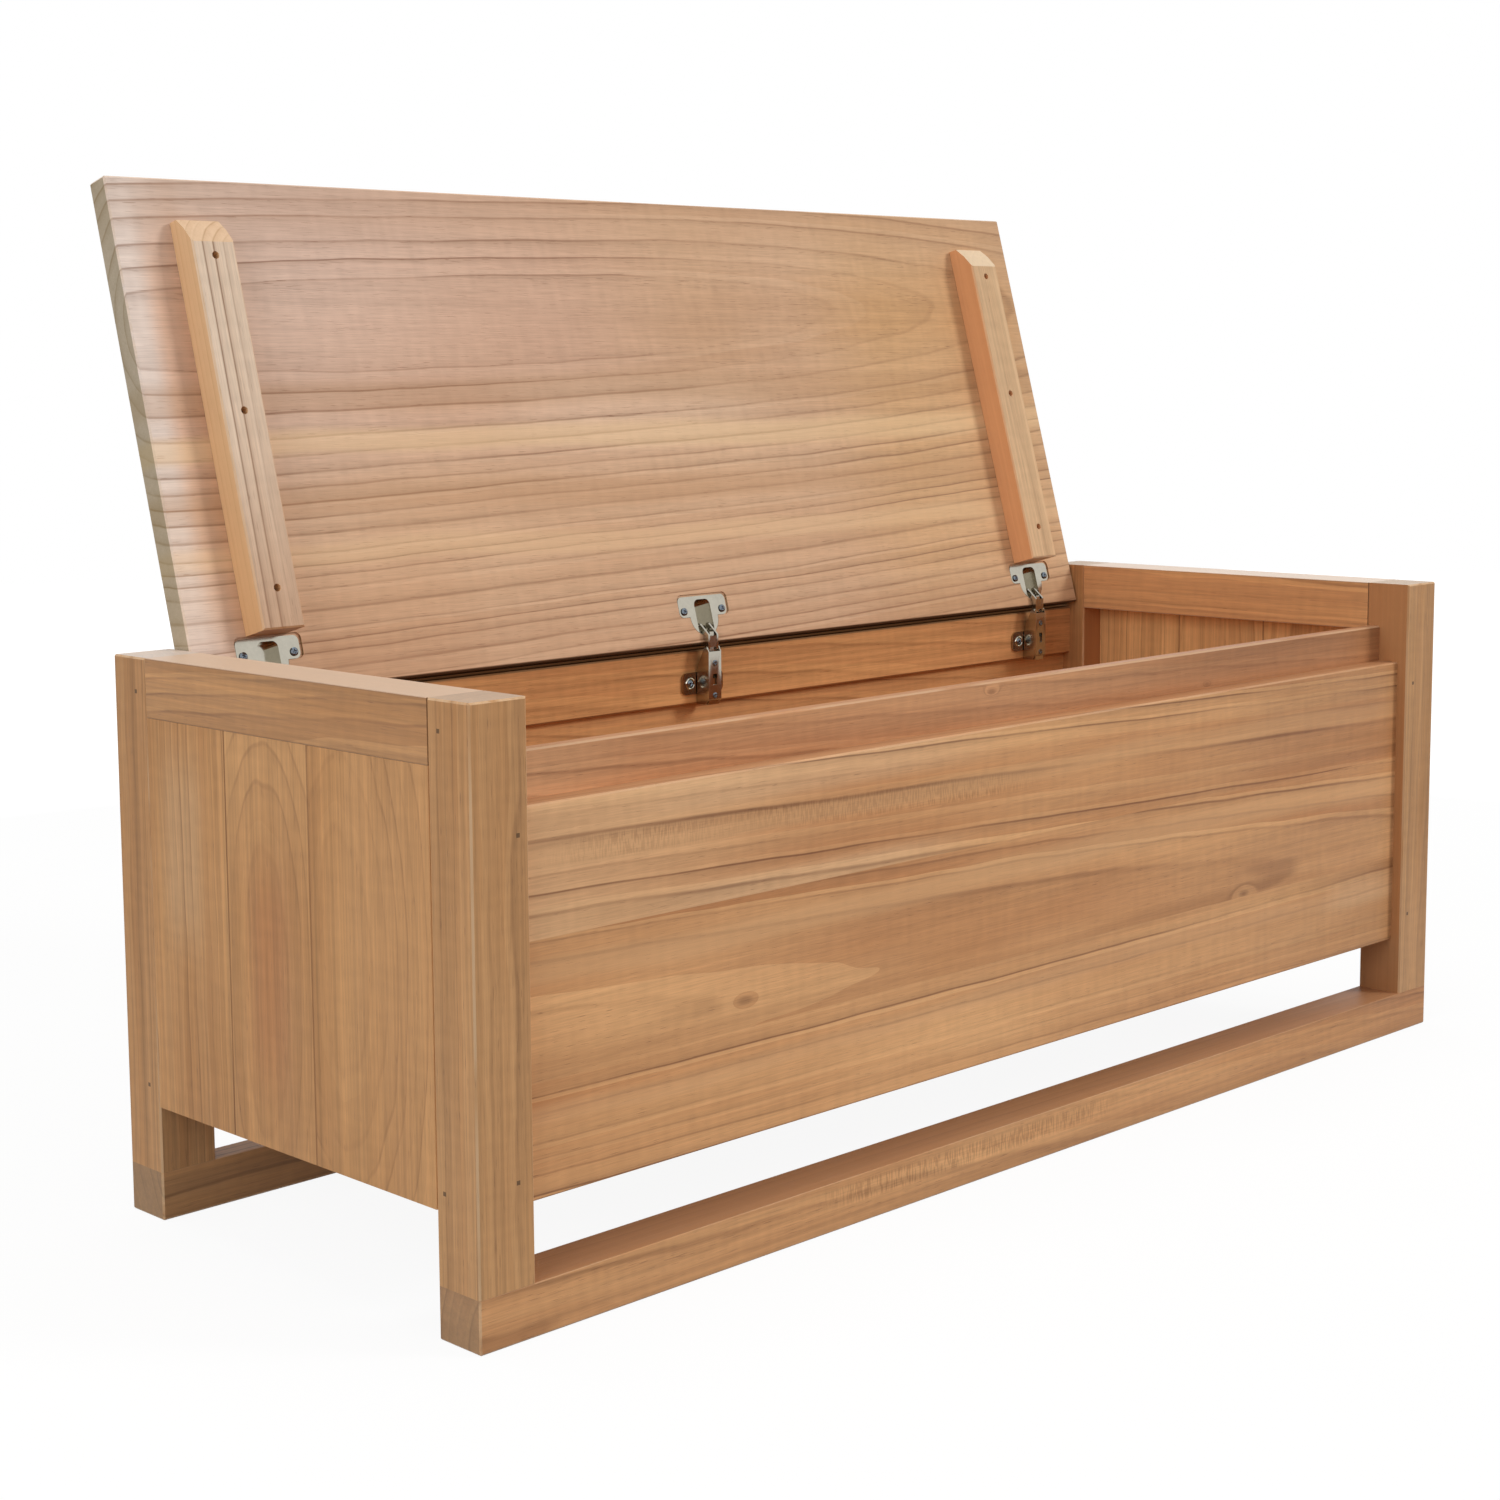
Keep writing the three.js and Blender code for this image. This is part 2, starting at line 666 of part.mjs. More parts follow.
// The fixed arm is a channel, open to the rail, with its nose round the outer link's pins
function makeArm(name, centre) {
  const front = railFace - armReach;
  const back = railFace - armBack;
  const foot = railTop - armDrop;
  const shape = new THREE.Shape();
  shape.moveTo(back, foot);
  shape.lineTo(front + armTaper, foot);
  shape.lineTo(front, foot + armTaper);
  const shoulder = armPivot.z - noseRadius;
  shape.lineTo(front, shoulder);
  shape.absarc(armPivot.y, armPivot.z, noseRadius, Math.PI, 0, true);
  shape.lineTo(back, railTop - armReach + armBack);
  const half = armWidth / 2;
  let arm = sectionPiece(shape, [centre - half, centre + half]);
  const inner = front + armWall;
  const above = armPivot.z + noseRadius + overrun;
  const hollow = outline([
    [inner, foot - overrun],
    [inner, shoulder],
    [front - overrun, shoulder],
    [front - overrun, above],
    [back + overrun, above],
    [back + overrun, foot - overrun],
  ]);
  arm = arm.subtract(sectionPiece(hollow, grow([centre - half, centre + half], -armWall)));
  const slotX = grow([centre, centre], slotWidth / 2);
  const slotZ = grow([railTop - slotDrop, railTop - slotDrop], slotLength / 2);
  arm = arm.subtract(block(box(slotX, [front - overrun, inner + jointGap], slotZ)));
  const innerWall = half - armWall;
  for (const side of [-1, 1]) {
    const pin = mirrored(side, innerWall - cheekGap - cheekThickness, half);
    const head = mirrored(side, half - armWall / 2, half + rivetHeight);
    const shifted = (span) => span.map((x) => centre + x);
    arm = arm.add(bar("x", pinRadius, shifted(pin), armPivot, pinSides));
    arm = arm.add(bar("x", rivetRadius, shifted(head), armPivot, pinSides));
  }
  const cross = grow([centre, centre], half - armWall / 2);
  arm = arm.add(bar("x", pinRadius, cross, innerPivot, pinSides));
  addPiece(chest, name, arm, nickel());
}

// The outer link has two cheeks, joined by a web across the front, that bend back into the cup
function makeOuterLink(name, centre) {
  const outer = outerLinkHalf;
  const knee = { y: armPivot.y, z: armPivot.z + outerKneeRise };
  const front = armPivot.y - cheekRadius + webInset;
  const webSpan = grow([centre, centre], outer - cheekThickness / 2);
  const web = box(webSpan, [front, front + webThickness], [armPivot.z + webRise, knee.z]);
  let link = block(web);
  for (const side of [-1, 1]) {
    const span = mirrored(side, outer - cheekThickness, outer).map((x) => centre + x);
    link = link.add(strip(armPivot, knee, cheekRadius, span));
    link = link.add(strip(knee, cupPivot, cheekRadius, span));
  }
  for (const pivot of [armPivot, cupPivot]) {
    const hole = grow([centre, centre], outer + overrun);
    link = link.subtract(bar("x", pinRadius + pinClearance, hole, pivot, pinSides));
  }
  addPiece(chest, name, link, nickel());
}

// The inner link runs up between the web and the lid's edge. It turns on its pin in the cup, and
// a slot round its pin in the arm leaves it free there.
function makeInnerLink(name, centre) {
  const span = grow([centre, centre], innerLinkWidth / 2);
  const knee = { y: railFace - innerKneeForward, z: railTop - innerKneeDrop };
  const top = { y: railFace - innerKneeForward, z: railTop + innerTopRise };
  const slotMiddle = { y: innerPivot.y - innerSlotForward, z: innerPivot.z };
  const [slotFront, slotBack] = [-1, 1].map((side) => ({
    y: slotMiddle.y + (side * innerSlotRun) / 2,
    z: slotMiddle.z,
  }));
  const hole = pinRadius + pinClearance;
  const slot = hole + innerSlotPlay;
  let link = strip(slotFront, knee, innerLinkRadius, span);
  link = link.add(strip(knee, top, innerLinkRadius, span));
  link = link.add(strip(top, innerCupPivot, innerLinkRadius, span));
  link = link.add(bar("x", hole + innerEyeWall, span, innerCupPivot, pinSides));
  link = link.add(strip(slotFront, slotBack, slot + innerEyeWall, span));
  link = link.subtract(bar("x", hole, grow(span, overrun), innerCupPivot, pinSides));
  link = link.subtract(strip(slotFront, slotBack, slot, grow(span, overrun)));
  addPiece(chest, name, link, nickel());
}

// The mounting plate has two screwed wings and a block that fills the arm's channel
function makePlate(name, centre) {
  const wings = roundedShape(plateLength, plateHeight, plateCorner);
  const geometry = extruded(wings, plateThickness, cornerSides);
  geometry.rotateX(Math.PI / 2);
  geometry.translate(centre, railFace, plateMiddle());
  let plate = solid(geometry);
  const x = grow([centre, centre], armWidth / 2 - armWall - plateBlockGap);
  const blockFront = railFace - armReach + armWall + plateBlockGap;
  const foot = railTop - armDrop;
  const y = [blockFront, railFace - plateThickness / 2];
  plate = plate.add(block(box(x, y, [foot, foot + plateBlockHeight])));
  const tail = box(x, [railFace - plateThickness, railFace], [foot, plateMiddle()]);
  plate = plate.add(block(tail));
  const hole = [railFace - overrun, railFace + overrun];
  for (const screwX of plateScrewPlaces(centre)) {
    const place = { x: screwX, z: plateMiddle() };
    plate = plate.subtract(bar("y", hingeScrewShank / 2 + jointGap, hole, place, screwSides));
  }
  addPiece(chest, name, plate, nickel());
}

function makePlateScrews(name, centre) {
  plateScrewPlaces(centre).forEach((x, i) => {
    const place = { x, z: plateMiddle() };
    const seat = railFace - plateThickness;
    const tip = railFace + hingeScrewLength;
    const piece = screw("y", hingeScrew(), seat, hingeScrewShank / 2, tip, place);
    addPiece(chest, name + "_" + (i + 1), piece, screwSteel());
  });
}

for (const side of [-1, 1]) {
  for (const back of [false, true]) makePost(side, back);
  makeEndRail(side);
  makeEndBoards(side);
  makeBatten(side);
  makeBattenScrews(side);
}
for (const back of [false, true]) makeBottomRail(back);
makeFrontBoards();
makeLidRail();
makeBackRail();
makeBackPanel();
makeFloor();
makeLid();
hingeCentres().forEach((centre, i) => {
  const place = ["left", "middle", "right"][i];
  makePlate(place + "_hinge_plate", centre);
  makePlateScrews(place + "_plate_screw", centre);
  makeArm(place + "_hinge_arm", centre);
  makeOuterLink(place + "_outer_link", centre);
  makeInnerLink(place + "_inner_link", centre);
  makeCup(place + "_hinge_cup", centre);
  makeCupScrews(place + "_cup_screw", centre);
});

export default chest;
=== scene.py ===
"""A wooden blanket chest with its lid open, dressed for rendering.

All lengths are in metres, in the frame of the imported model: +X along the chest to the right,
+Y to its back and +Z up.
"""

import math

import bmesh
import bpy
from mathutils import Matrix, Vector
from mathutils.bvhtree import BVHTree


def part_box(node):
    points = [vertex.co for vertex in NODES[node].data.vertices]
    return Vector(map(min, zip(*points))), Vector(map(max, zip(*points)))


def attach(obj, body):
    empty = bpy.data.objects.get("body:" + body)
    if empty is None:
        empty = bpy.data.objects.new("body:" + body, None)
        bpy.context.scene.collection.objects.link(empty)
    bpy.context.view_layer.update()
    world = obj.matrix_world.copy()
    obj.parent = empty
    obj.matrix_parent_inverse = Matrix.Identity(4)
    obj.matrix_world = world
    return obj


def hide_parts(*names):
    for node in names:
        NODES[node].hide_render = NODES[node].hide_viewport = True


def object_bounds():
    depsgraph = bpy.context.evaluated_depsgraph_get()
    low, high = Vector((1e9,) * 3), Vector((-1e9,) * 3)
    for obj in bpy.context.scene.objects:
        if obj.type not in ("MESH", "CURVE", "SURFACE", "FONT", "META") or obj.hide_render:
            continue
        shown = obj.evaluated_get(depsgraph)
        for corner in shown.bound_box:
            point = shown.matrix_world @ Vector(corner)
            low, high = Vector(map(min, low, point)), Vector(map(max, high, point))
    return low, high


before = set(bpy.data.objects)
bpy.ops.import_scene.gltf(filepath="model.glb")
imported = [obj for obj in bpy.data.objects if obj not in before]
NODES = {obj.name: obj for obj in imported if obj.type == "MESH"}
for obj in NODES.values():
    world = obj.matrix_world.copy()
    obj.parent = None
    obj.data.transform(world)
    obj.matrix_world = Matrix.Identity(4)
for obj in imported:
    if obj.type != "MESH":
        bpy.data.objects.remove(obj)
cad_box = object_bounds()

MM = 0.001

# The lid's own frame: its origin is on the back edge of its underside, y runs to the back and
# z runs from its underside to its face when it is shut
LID_ORIGIN = (0, 0.12833, 0.3972)
LID_TURN = math.radians(-105.4)
LID_FRAME = Matrix.Translation(LID_ORIGIN) @ Matrix.Rotation(LID_TURN, 4, "X")


def srgb(red, green, blue):
    """A colour written as it looks, from 0 to 255, as the linear colour that a shader takes"""

    def linear(value):
        value /= 255
        return value / 12.92 if value <= 0.04045 else ((value + 0.055) / 1.055) ** 2.4

    return (linear(red), linear(green), linear(blue), 1)


# Node graphs
class Graph:
    """Short calls that add nodes to a tree and link them"""

    def __init__(self, tree):
        self.tree = tree

    def node(self, kind, **settings):
        node = self.tree.nodes.new(kind)
        for name, value in settings.items():
            setattr(node, name, value)
        return node

    def put(self, socket, value):
        if value is None:
            return
        if isinstance(value, bpy.types.NodeSocket):
            self.tree.links.new(value, socket)
        else:
            socket.default_value = value

    def math(self, operation, a, b=None, c=None, clamp=False):
        node = self.node("ShaderNodeMath", operation=operation, use_clamp=clamp)
        for socket, value in zip(node.inputs, (a, b, c)):
            self.put(socket, value)
        return node.outputs[0]

    def chain(self, operation, values):
        total = values[0]
        for value in values[1:]:
            total = self.math(operation, total, value)
        return total

    def add(self, *values):
        return self.chain("ADD", values)

    def mul(self, *values):
        return self.chain("MULTIPLY", values)

    def most(self, *values):
        return self.chain("MAXIMUM", values)

    def scaled(self, value, factor, offset):
        return self.math("MULTIPLY_ADD", value, factor, offset)

    def centred(self, value, spread):
        """A value from 0 to 1, moved to lie evenly round 0 with the given spread"""
        return self.scaled(value, spread, -spread / 2)

    def step(self, value, low, high):
        """A smooth step from 0 at the low value to 1 at the high one, which may be the smaller"""
        node = self.node("ShaderNodeMapRange", interpolation_type="SMOOTHSTEP")
        for name, content in (("Value", value), ("From Min", low), ("From Max", high)):
            self.put(node.inputs[name], content)
        return node.outputs["Result"]

    def near(self, value, middle, reach, core):
        """1 in the core of a band round a middle value, falling to 0 at its reach. The core is a
        share of the reach."""
        off = self.math("ABSOLUTE", self.add(value, -middle))
        return self.step(off, reach, reach * core)

    def vector(self, x, y, z):
        node = self.node("ShaderNodeCombineXYZ")
        for socket, value in zip(node.inputs, (x, y, z)):
            self.put(socket, value)
        return node.outputs[0]

    def parts(self, vector):
        node = self.node("ShaderNodeSeparateXYZ")
        self.put(node.inputs[0], vector)
        return node.outputs[0], node.outputs[1], node.outputs[2]

    def mix(self, factor, a, b, blend="MIX"):
        node = self.node("ShaderNodeMix", data_type="RGBA", blend_type=blend)
        node.clamp_result = True
        for index, value in ((0, factor), (6, a), (7, b)):
            self.put(node.inputs[index], value)
        return node.outputs[2]

    def noise(self, vector, detail=1.0, roughness=0.5, scale=1.0):
        node = self.node("ShaderNodeTexNoise")
        self.put(node.inputs["Vector"], vector)
        self.put(node.inputs["Scale"], scale)
        self.put(node.inputs["Detail"], detail)
        self.put(node.inputs["Roughness"], roughness)
        return node.outputs["Fac"]

    def chance(self, value):
        node = self.node("ShaderNodeTexWhiteNoise", noise_dimensions="1D")
        self.put(node.inputs["W"], value)
        return node.outputs["Value"]

    def stretched(self, a, b, c, along, across):
        """The same place with the grain's direction and the two across it scaled apart"""
        return self.vector(self.mul(a, along), self.mul(b, across), self.mul(c, across))

    def bump(self, shader, height, distance, strength):
        node = self.node("ShaderNodeBump")
        node.inputs["Distance"].default_value = distance
        node.inputs["Strength"].default_value = strength
        self.put(node.inputs["Height"], height)
        self.put(shader.inputs["Normal"], node.outputs[0])

    def seen(self):
        """1 for what the camera sees, by itself, in a reflection or through glass"""
        path = self.node("ShaderNodeLightPath").outputs
        return self.most(
            path["Is Camera Ray"], path["Is Glossy Ray"], path["Is Transmission Ray"]
        )

    def blend(self, factor, first, second):
        """The output of a mix of two shaders"""
        node = self.node("ShaderNodeMixShader")
        for socket, value in zip(node.inputs, (factor, first, second)):
            self.put(socket, value)
        return node.outputs[0]


def new_material(name):
    """A new material, with its graph and its shader"""
    material = bpy.data.materials.new(name)
    material.use_nodes = True
    g = Graph(material.node_tree)
    return material, g, g.tree.nodes["Principled BSDF"]


# Timber
# With full Crowd the rings have twice their mean density at the crowd radius, and past the crowd
# end their density grows no more
CROWD_RADIUS, CROWD_END = 0.1, 0.12
# How far along the tree one whole seed moves a board
SEED_STRIDE = 7.31
# How far a knot pushes the rings aside
KNOT_PUSH = 0.012
# A ring's line lies at phase 0. The ring runs from this phase before it to where the next starts
RING_BEFORE = 0.7
# The rings' spacing is uneven by this many rings, in waves this many to a metre of radius
UNEVEN_RINGS, UNEVEN_WAVES = 1.7, 30
# The dark line's half width, as a share of its ring and at most. Its middle part is all dark
CORE_SHARE, CORE_WIDEST, CORE_SOLID = 0.11, 0.0014, 0.2
# The line's soft shoulder: how far it reaches before the line and after it, in metres, and before
# it in phase. Each goes from where it is nothing to where it is full
SHOULDER_BEFORE, SHOULDER_AFTER, SHOULDER_PHASE = (-0.012, -0.0006), (0.001, 0.0), (-0.6, -0.02)
CORE_AMOUNT, SHOULDER_AMOUNT = 0.62, 0.38
# What is left of a line where its ring is a faint one, where the line fades along the board, and
# near the pith
FAINT_RING, FADED_LINE, HEART_LINE = 0.25, 0.3, 0.25
# Noise fields: waves per metre along and across the grain, an offset that keeps each apart from
# the others, and its detail
FIELDS = {
    "sway": (1.9, 5.0, 0.0, 1.0),
    "heave": (1.4, 5.0, 3.1, 0.0),
    "ripple": (11.0, 42.0, 5.7, 1.0),
    "fading": (2.9, 26.0, 9.2, 1.0),
    "blotch": (2.1, 11.0, 13.7, 2.0),
    "bloom": (1.6, 8.0, 21.3, 2.0),
    "stripe": (1.2, 85.0, 6.6, 1.0),
    "streak": (2.0, 300.0, 1.9, 1.0),
    "fibre": (32.0, 1000.0, 4.4, 1.0),
    "figure": (130.0, 45.0, 17.2, 0.0),
    "pore": (80.0, 1500.0, 8.8, 0.0),
}
# How far each field lightens and darkens the wood
STRIPE_SPREAD, STREAK_SPREAD, FIBRE_SPREAD, FIGURE_SPREAD = 0.38, 0.46, 0.32, 0.12
BLOTCH_SPREAD = 1.7
# How dark a pore is, and how much darker on a line's shoulder
PORE_AMOUNT, PORE_ON_LINE = 0.16, 0.3
# Marks of ray fleck to a metre along the grain and across it
FLECK_ALONG, FLECK_ACROSS = 760, 110
# Colours laid over the wood, and how much of each
BLOOM, BLOOM_AMOUNT = srgb(182, 140, 106), 0.26
FLECK_BRIGHT, BRIGHT_AMOUNT = srgb(216, 172, 120), 0.14
FLECK_DULL, DULL_AMOUNT = srgb(126, 84, 50), 0.32
KNOT_EYE, KNOT_AMOUNT = srgb(104, 66, 42), 0.4


def timber_group():
    """Sawn timber as one node group. Its vector is the place on the board: x along the grain, y
    across the face and z into the board. The growth rings are round a pith line that lies at a
    given place below the face and rises or bows along the board. Crowd, from 0 to 1, sets them
    closer the further they are from it. Lines nearer to the pith than Heart are faint. Streaks
    scales the streaks along the grain. Evenness, from 0 to 1, makes the lines alike."""
    tree = bpy.data.node_groups.new("Timber", "ShaderNodeTree")
    g = Graph(tree)
    sockets = (
        ("Vector", "NodeSocketVector", (0, 0, 0)),
        ("Spacing", "NodeSocketFloat", 0.015),
        ("Crowd", "NodeSocketFloat", 0.0),
        ("Pith Across", "NodeSocketFloat", 0.0),
        ("Pith Depth", "NodeSocketFloat", 0.06),
        ("Rise Across", "NodeSocketFloat", 0.0),
        ("Rise Depth", "NodeSocketFloat", 0.08),
        ("Bow", "NodeSocketFloat", 0.0),
        ("Wander", "NodeSocketFloat", 0.008),
        ("Seed", "NodeSocketFloat", 0.0),
        ("Light", "NodeSocketColor", (0.6, 0.4, 0.2, 1)),
        ("Deep", "NodeSocketColor", (0.5, 0.3, 0.15, 1)),
        ("Line", "NodeSocketColor", (0.2, 0.1, 0.05, 1)),
        ("Line Strength", "NodeSocketFloat", 0.5),
        ("Banding", "NodeSocketFloat", 0.4),
        ("Fleck", "NodeSocketFloat", 0.0),
        ("Knot", "NodeSocketFloat", 0.0),
        ("Heart", "NodeSocketFloat", 0.001),
        ("Streaks", "NodeSocketFloat", 1.0),
        ("Evenness", "NodeSocketFloat", 0.0),
    )
    for name, kind, value in sockets:
        socket = tree.interface.new_socket(name, in_out="INPUT", socket_type=kind)
        socket.default_value = value
    for name, kind in (("Color", "NodeSocketColor"), ("Height", "NodeSocketFloat")):
        tree.interface.new_socket(name, in_out="OUTPUT", socket_type=kind)
    given = g.node("NodeGroupInput").outputs
    result = g.node("NodeGroupOutput").inputs

    a, b, c = g.parts(given["Vector"])
    shift = g.mul(given["Seed"], SEED_STRIDE)
    far = g.add(a, shift)

    def field(name):
        along, across, offset, detail = FIELDS[name]
        place = g.vector(
            g.mul(g.add(far, offset), along), g.mul(b, across), g.mul(g.add(c, offset), across)
        )
        return g.noise(place, detail)

    # The distance from the pith line
    across = g.add(
        g.math("SUBTRACT", b, given["Pith Across"]),
        g.mul(a, given["Rise Across"]),
        g.mul(g.centred(field("sway"), 2.0), given["Wander"]),
    )
    deep = g.add(
        g.add(c, given["Pith Depth"]),
        g.mul(a, given["Rise Depth"]),
        g.mul(a, a, given["Bow"]),
        g.mul(g.centred(field("heave"), 2.0), given["Wander"]),
    )
    radius = g.math("SQRT", g.add(g.mul(across, across), g.mul(deep, deep)))
    ripple = g.mul(g.centred(field("ripple"), 0.7), given["Wander"])
    radius = g.add(radius, ripple, g.mul(given["Knot"], KNOT_PUSH))

    # The growth ring that a place lies in, and how far it is from that ring's dark line
    crowded = g.math("MINIMUM", radius, CROWD_END)
    density = g.scaled(g.scaled(crowded, 2 / CROWD_RADIUS, -1.0), given["Crowd"], 1.0)
    mean = g.scaled(g.scaled(crowded, 1 / CROWD_RADIUS, -1.0), given["Crowd"], 1.0)
    beyond = g.mul(g.math("SUBTRACT", radius, crowded), density)
    rings = g.add(g.mul(crowded, mean), beyond)
    uneven = g.noise(g.vector(g.mul(radius, UNEVEN_WAVES), shift, 0.0), 0.0)
    rings = g.add(g.math("DIVIDE", rings, given["Spacing"]), g.centred(uneven, UNEVEN_RINGS))
    thickness = g.math("DIVIDE", given["Spacing"], density)
    turned = g.add(rings, RING_BEFORE)
    phase = g.math("SUBTRACT", g.math("FRACT", turned), RING_BEFORE)
    count = g.add(g.math("FLOOR", turned), given["Seed"])
    away = g.mul(phase, thickness)

    # The line is a crisp core with a soft shoulder on the pith's side
    broad = g.math("MINIMUM", g.mul(thickness, CORE_SHARE), CORE_WIDEST)
    core = g.step(g.math("ABSOLUTE", away), broad, g.mul(broad, CORE_SOLID))
    shoulder = g.mul(
        g.step(away, *SHOULDER_BEFORE), g.step(away, *SHOULDER_AFTER),
        g.step(phase, *SHOULDER_PHASE),
    )
    dark = g.add(g.mul(core, CORE_AMOUNT), g.mul(shoulder, SHOULDER_AMOUNT))
    strength = g.scaled(g.chance(count), 1 - FAINT_RING, FAINT_RING)
    strength = g.most(strength, given["Evenness"])
    fade = g.scaled(g.step(field("fading"), 0.30, 0.58), 1 - FADED_LINE, FADED_LINE)
    fade = g.most(fade, given["Evenness"])
    heart = g.step(radius, given["Heart"], g.mul(given["Heart"], 1.7))
    fade = g.mul(fade, g.scaled(heart, 1 - HEART_LINE, HEART_LINE))
    line = g.mul(strength, fade, given["Line Strength"])

    # The ground colour, with bands that follow the rings and blotches that don't
    band = g.chance(g.add(count, 41.3))
    tone = g.mul(g.add(g.centred(band, 1.0), g.mul(phase, -0.5)), given["Banding"])
    tone = g.add(0.5, g.centred(field("blotch"), BLOTCH_SPREAD), tone)
    tone = g.math("ADD", tone, 0.0, clamp=True)
    colour = g.mix(tone, given["Light"], given["Deep"])
    bloom = g.step(field("bloom"), 0.48, 0.72)
    colour = g.mix(g.mul(bloom, BLOOM_AMOUNT), colour, g.mix(0.5, given["Light"], BLOOM))
    colour = g.mix(g.mul(dark, line), colour, given["Line"])

    # Fibres, fine streaks and open pores
    streak, fibre = field("streak"), field("fibre")
    drawn = g.add(g.centred(field("stripe"), STRIPE_SPREAD), g.centred(streak, STREAK_SPREAD))
    shade = g.add(
        1.0, g.mul(drawn, given["Streaks"]), g.centred(fibre, FIBRE_SPREAD),
        g.centred(field("figure"), FIGURE_SPREAD),
    )
    colour = g.mix(1.0, colour, g.vector(shade, shade, shade), "MULTIPLY")
    pore = g.step(field("pore"), 0.70, 0.84)
    open_pore = g.mul(pore, g.add(PORE_AMOUNT, g.mul(shoulder, PORE_ON_LINE)))
    colour = g.mix(open_pore, colour, given["Line"])

    # Ray fleck, short marks that stand across the grain
    mark = g.noise(g.stretched(far, b, c, FLECK_ALONG, FLECK_ACROSS), 0.0)
    bright = g.mul(g.step(mark, 0.46, 0.60), given["Fleck"])
    dull = g.mul(g.step(mark, 0.54, 0.42), given["Fleck"])
    colour = g.mix(g.mul(bright, BRIGHT_AMOUNT), colour, FLECK_BRIGHT)
    colour = g.mix(g.mul(dull, DULL_AMOUNT), colour, FLECK_DULL)

    # A knot's dark eye
    eye = g.step(given["Knot"], 0.55, 1.0)
    colour = g.mix(g.mul(eye, KNOT_AMOUNT), colour, KNOT_EYE)

    height = g.add(g.mul(fibre, 0.5), g.mul(streak, 0.4), g.mul(pore, -1.0))
    g.put(result["Color"], colour)
    g.put(result["Height"], height)
    return tree


TIMBER = timber_group()

AXES = {"x": 0, "y": 1, "z": 2}
# Each look's light and deep ground colours and its growth lines
FROM_SRGB = {
    "honey": ((213, 161, 108), (175, 123, 76), (110, 68, 42)),
    "panel": ((236, 181, 127), (195, 135, 88), (116, 70, 43)),
    "rust": ((218, 162, 116), (188, 131, 90), (112, 66, 40)),
    "lid": ((226, 190, 157), (203, 163, 130), (124, 82, 56)),
    "post": ((209, 160, 111), (177, 127, 81), (108, 72, 46)),
    "inside": ((226, 169, 112), (198, 141, 93), (118, 70, 42)),
    "glow": ((226, 178, 122), (200, 149, 98), (140, 92, 56)),
    "pale": ((240, 220, 198), (218, 192, 166), (128, 88, 60)),
    "gold": ((226, 190, 148), (202, 164, 124), (140, 94, 60)),
}
PALETTE = {name: tuple(srgb(*c) for c in three) for name, three in FROM_SRGB.items()}
# Pale edges: partly wear, partly a painted highlight where the edges catch the light
WORN_AND_LIT_EDGE = srgb(226, 196, 160)
SEAM_DIRT = srgb(88, 54, 34)
# How much of a board's own colours shows on its end grain, its long sides, which carry painted
# light and shade, and its back edge, which carries painted shade
SAWN_AMOUNT, SIDE_LIGHT_AND_SHADE_AMOUNT, BACK_EDGE_SHADE_AMOUNT = 0.6, 0.75, 0.9
PEG_END, PEG_AMOUNT = srgb(78, 58, 38), 0.8
# A seam's strip of dirt, and a strip of painted shade along a board's back edge: where each
# starts and where it is full, from the edge
DIRT_START, DIRT_FULL = 0.0016, 0.0003
BACK_EDGE_SHADE_START, BACK_EDGE_SHADE_FULL = 0.002, 0.0004
WOOD_ROUGHNESS, WOOD_ROUGHNESS_SPREAD = 0.47, 0.16
# Bumps: how deep they are and how strongly they show
WOOD_BUMP = (0.00022, 0.55)
METAL_BUMP = (0.00006, 0.4)
# The darkest of a metal's colour, as a share of it
METAL_DARK = 0.72

# Square pegs hold the tenons in the posts. Their places are from the chest's left end, its front
# and its foot
LEFT, FRONT = cad_box[0][0], cad_box[0][1]
RIGHT = cad_box[1][0]
PEG_HALF = 1.7 * MM
PEGS = {
    "front_left_post": (
        (LEFT + 39.6 * MM, FRONT, 344 * MM), (LEFT + 35 * MM, FRONT, 110.5 * MM),
        (LEFT, FRONT + 32 * MM, 414 * MM), (LEFT, FRONT + 34.8 * MM, 103 * MM),
    ),
    "front_right_post": (
        (RIGHT - 37 * MM, FRONT, 340 * MM), (RIGHT - 37 * MM, FRONT, 115 * MM),
        (RIGHT, FRONT + 32 * MM, 414 * MM), (RIGHT, FRONT + 34.8 * MM, 103 * MM),
    ),
    "back_left_post": (
        (LEFT, FRONT + 395.4 * MM, 409 * MM), (LEFT, FRONT + 395.4 * MM, 105 * MM),
    ),
    "back_right_post": (
        (RIGHT, FRONT + 395.4 * MM, 409 * MM), (RIGHT, FRONT + 395.4 * MM, 105 * MM),
    ),
}


def extents(points):
    """The low and the high corner of the box round some points"""
    low, high = (Vector([pick(p[i] for p in points) for i in range(3)]) for pick in (min, max))
    return low, high


